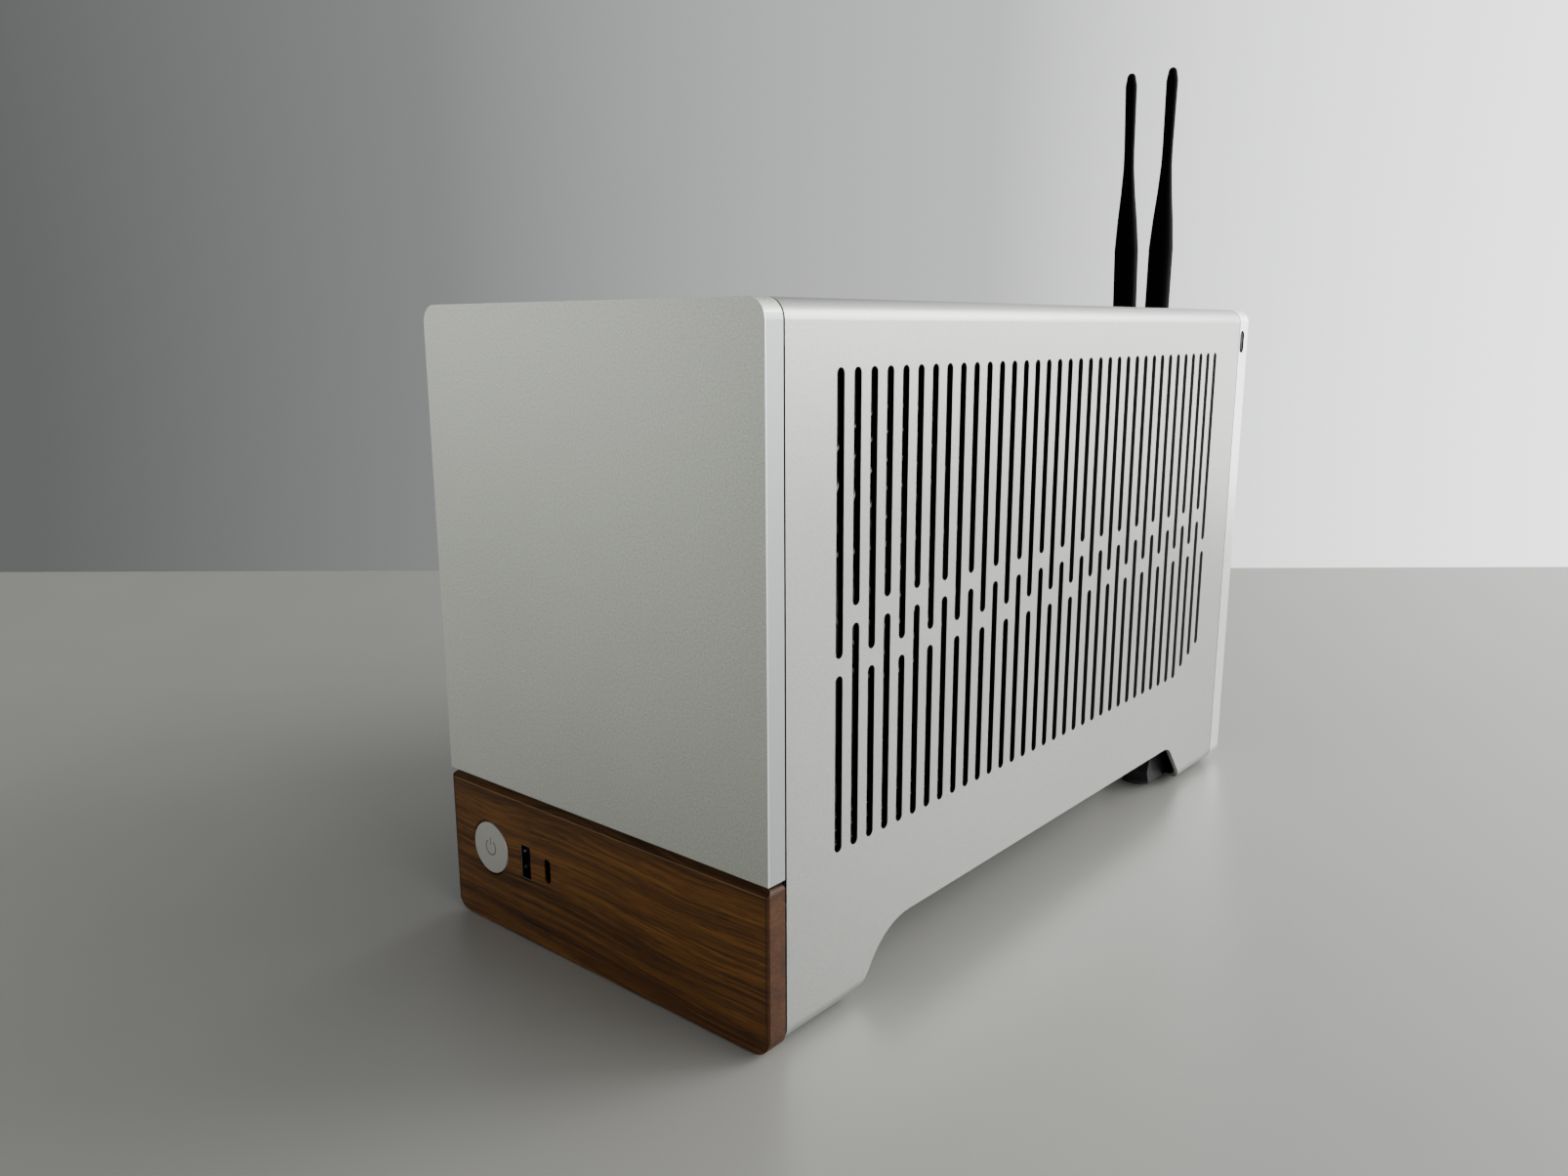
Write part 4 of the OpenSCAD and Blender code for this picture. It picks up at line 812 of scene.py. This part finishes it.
place_piece("heat_pipes", made, "chassis", "gilt_brass", copper)

# %% [markdown]
# ## Parts on the main board
#
# A bare board looks like a toy. Real ones carry round capacitors with a cross pressed into
# their tops, square chokes, flat chips with rows of legs, and crowds of tiny resistors. The
# big ones are placed one by one in the free strips. The tiny ones are plain little boxes dropped
# by a seeded random draw, so they fall in the same places each time.

# %% Capacitors, chokes and chips
can = rolled("capacitor_can", rgb(206, 208, 210), 0.3, 0, 2400)
chip = dark("chip_black", rgb(20, 20, 22), 0.42, 2600, 0.00001)
choke = dark("choke_grey", rgb(70, 71, 74), 0.5, 1500, 0.00004)
skin = spot("motherboard", 1, 0, 0).x
made = bmesh.new()
can_outline = [(0, 7.4), (2.3, 7.5), (2.6, 7.2), (2.6, 1.4), (2.35, 1.1), (2.6, 0.8), (2.6, 0)]
can_places = ([(14 + 9 * k, 46) for k in range(6)] + [(12 + 9 * k, 178) for k in range(5)]
              + [(-16, 60), (-16, 70), (-16, 90), (-16, 100)])
for y, z in can_places:
    turned(made, can_outline, (skin, y, z), (1, 0, 0), 20, 0)
    sawn(made, (skin, y - 3, z - 3), (skin + 0.8, y + 3, z + 3), 0.3, 1)
for k in range(9):
    z = 62 + 10.4 * k
    sawn(made, (skin, 119.5, z - 3.8), (skin + 6.5, 127, z + 3.8), 0.7, 2)
for y, z, half, rows in ((30, 162, 7, 9), (48, 162, 5, 6), (88, 42, 5.5, 7), (108, 42, 5.5, 7),
                         (-16, 112, 3.2, 4)):
    sawn(made, (skin + 0.25, y - half, z - half), (skin + 1.7, y + half, z + half), 0.12, 1)
    for k in range(rows):
        c = z - half + (k + 0.5) * 2 * half / rows
        for side in (-1, 1):
            leg = y + side * (half + 0.55)
            sawn(made, (skin, leg - 0.6, c - 0.22), (skin + 0.6, leg + 0.6, c + 0.22), 0, 0)
place_piece("board_parts", made, "chassis", "circuit_board", can, chip, choke)

# %% Resistors
RESISTORS = 240
draw = random.Random(7)
made = bmesh.new()
patches = [(10, 64, 150, 186), (10, 128, 34, 56), (119, 129, 34, 56), (-21, -12, 46, 128)]
for k in range(RESISTORS):
    y0, y1, z0, z1 = patches[k % 4]
    y, z = draw.uniform(y0, y1), draw.uniform(z0, z1)
    a, b = draw.choice(((0.4, 0.8), (0.8, 0.4), (0.5, 1.0)))
    tall = draw.choice((0.45, 0.6, 0.9))
    sawn(made, (skin, y - a, z - b), (skin + tall, y + a, z + b), 0, draw.choice((0, 1, 1)))
resistor_tan = dark("resistor_tan", rgb(120, 98, 70), 0.45, 2500, 0.00001)
place_piece("board_resistors", made, "chassis", "circuit_board", resistor_tan, chip)

# %% [markdown]
# ## The table and the light
#
# The case stands on a pale table, with a grey room behind it. A window to the right and
# behind lights the slotted side and the top edges, and the front is in soft shade. Large area
# lights stand in for windows, because a big light close by has soft edges.

# %% Table
TABLE_REACH, TABLE_WIDE, TABLE_BEHIND = 1.07, 6.0, 3.0  # measured from under the eye


def table(reach, wide, behind):
    made = bmesh.new()
    bmesh.ops.create_grid(made, x_segments=1, y_segments=1, size=0.5)
    bmesh.ops.scale(made, vec=(wide, reach + behind, 1), verts=made.verts)
    bmesh.ops.translate(made, vec=(0, (reach - behind) / 2, 0), verts=made.verts)
    bmesh.ops.rotate(made, cent=(0, 0, 0), verts=made.verts,
                     matrix=Matrix.Rotation(math.radians(-EYE_YAW), 3, "Z"))
    bmesh.ops.translate(made, vec=(EYE_PLACE[0], EYE_PLACE[1], 0), verts=made.verts)
    mesh = bpy.data.meshes.new("table")
    made.to_mesh(mesh)
    made.free()
    top = bpy.data.objects.new("table", mesh)
    bpy.context.scene.collection.objects.link(top)
    return top


desk = table(TABLE_REACH, TABLE_WIDE, TABLE_BEHIND)
satin = Finish("table_satin", Specular_IOR_Level=0.9)
haze = satin.noise(satin.place, 14, 3, 0.5)
satin.feed("Base Color", satin.mix(haze, rgb(168, 167, 162), rgb(176, 175, 170)))
satin.feed("Roughness", (haze * 0.06 + 0.35).clamp())
desk.data.materials.append(satin.material)
print("table corners:", [tuple(round(c, 2) for c in v.co) for v in desk.data.vertices])

# %% Lights
def window(name, place, aim, size, watts):
    lamp = bpy.data.lights.new(name, "AREA")
    lamp.shape, lamp.size, lamp.size_y = "RECTANGLE", size[0], size[1]
    lamp.energy = watts
    stand = bpy.data.objects.new(name, lamp)
    stand.location = place
    stand.rotation_euler = (Vector(aim) - Vector(place)).to_track_quat("-Z", "Y").to_euler()
    bpy.context.scene.collection.objects.link(stand)


window("side_window", (0.95, 1.25, 0.75), (0.35, 0.35, 0.0), (0.8, 0.8), 14)
window("top_glow", (0.5, 0.6, 1.5), (0, 0.05, 0.1), (1.2, 1.0), 1.3)
window("front_fill", (-1.3, -1.25, 0.34), (0, -0.18, 0.2), (0.9, 0.5), 2.2)

# %% Room
TO_THE_RIGHT = (0.759, 0.651, 0.0)


def grey(v):
    return (v * 0.985, v, v)


room = bpy.data.worlds.new("room")
bpy.context.scene.world = room
room.use_nodes = True
background = room.node_tree.nodes["Background"]
air = Graph(room.node_tree)
facing = air.make("ShaderNodeTexCoord", out="Generated")
rightness = air.make("ShaderNodeVectorMath", {"operation": "DOT_PRODUCT"}, out="Value", i0=facing,
                     i1=TO_THE_RIGHT) * 0.5 + 0.5
walls = air.make("ShaderNodeValToRGB", {"stops": [
    (0.0, grey(0.14)), (0.24, grey(0.14)), (0.37, grey(0.26)), (0.5, grey(0.56)),
    (0.65, grey(0.88)), (1.0, grey(1.0))]}, Fac=rightness)
height = ((air.part(facing, 2) - 0.3) / 0.7).clamp()
bright = rightness.above(0.72, 0.14) * 2.8 + 1.0
room.node_tree.links.new((bright * (1 - height * 0.96)).socket, background.inputs["Strength"])
room.node_tree.links.new(walls.socket, background.inputs["Color"])
print("the room grows brighter to the right")
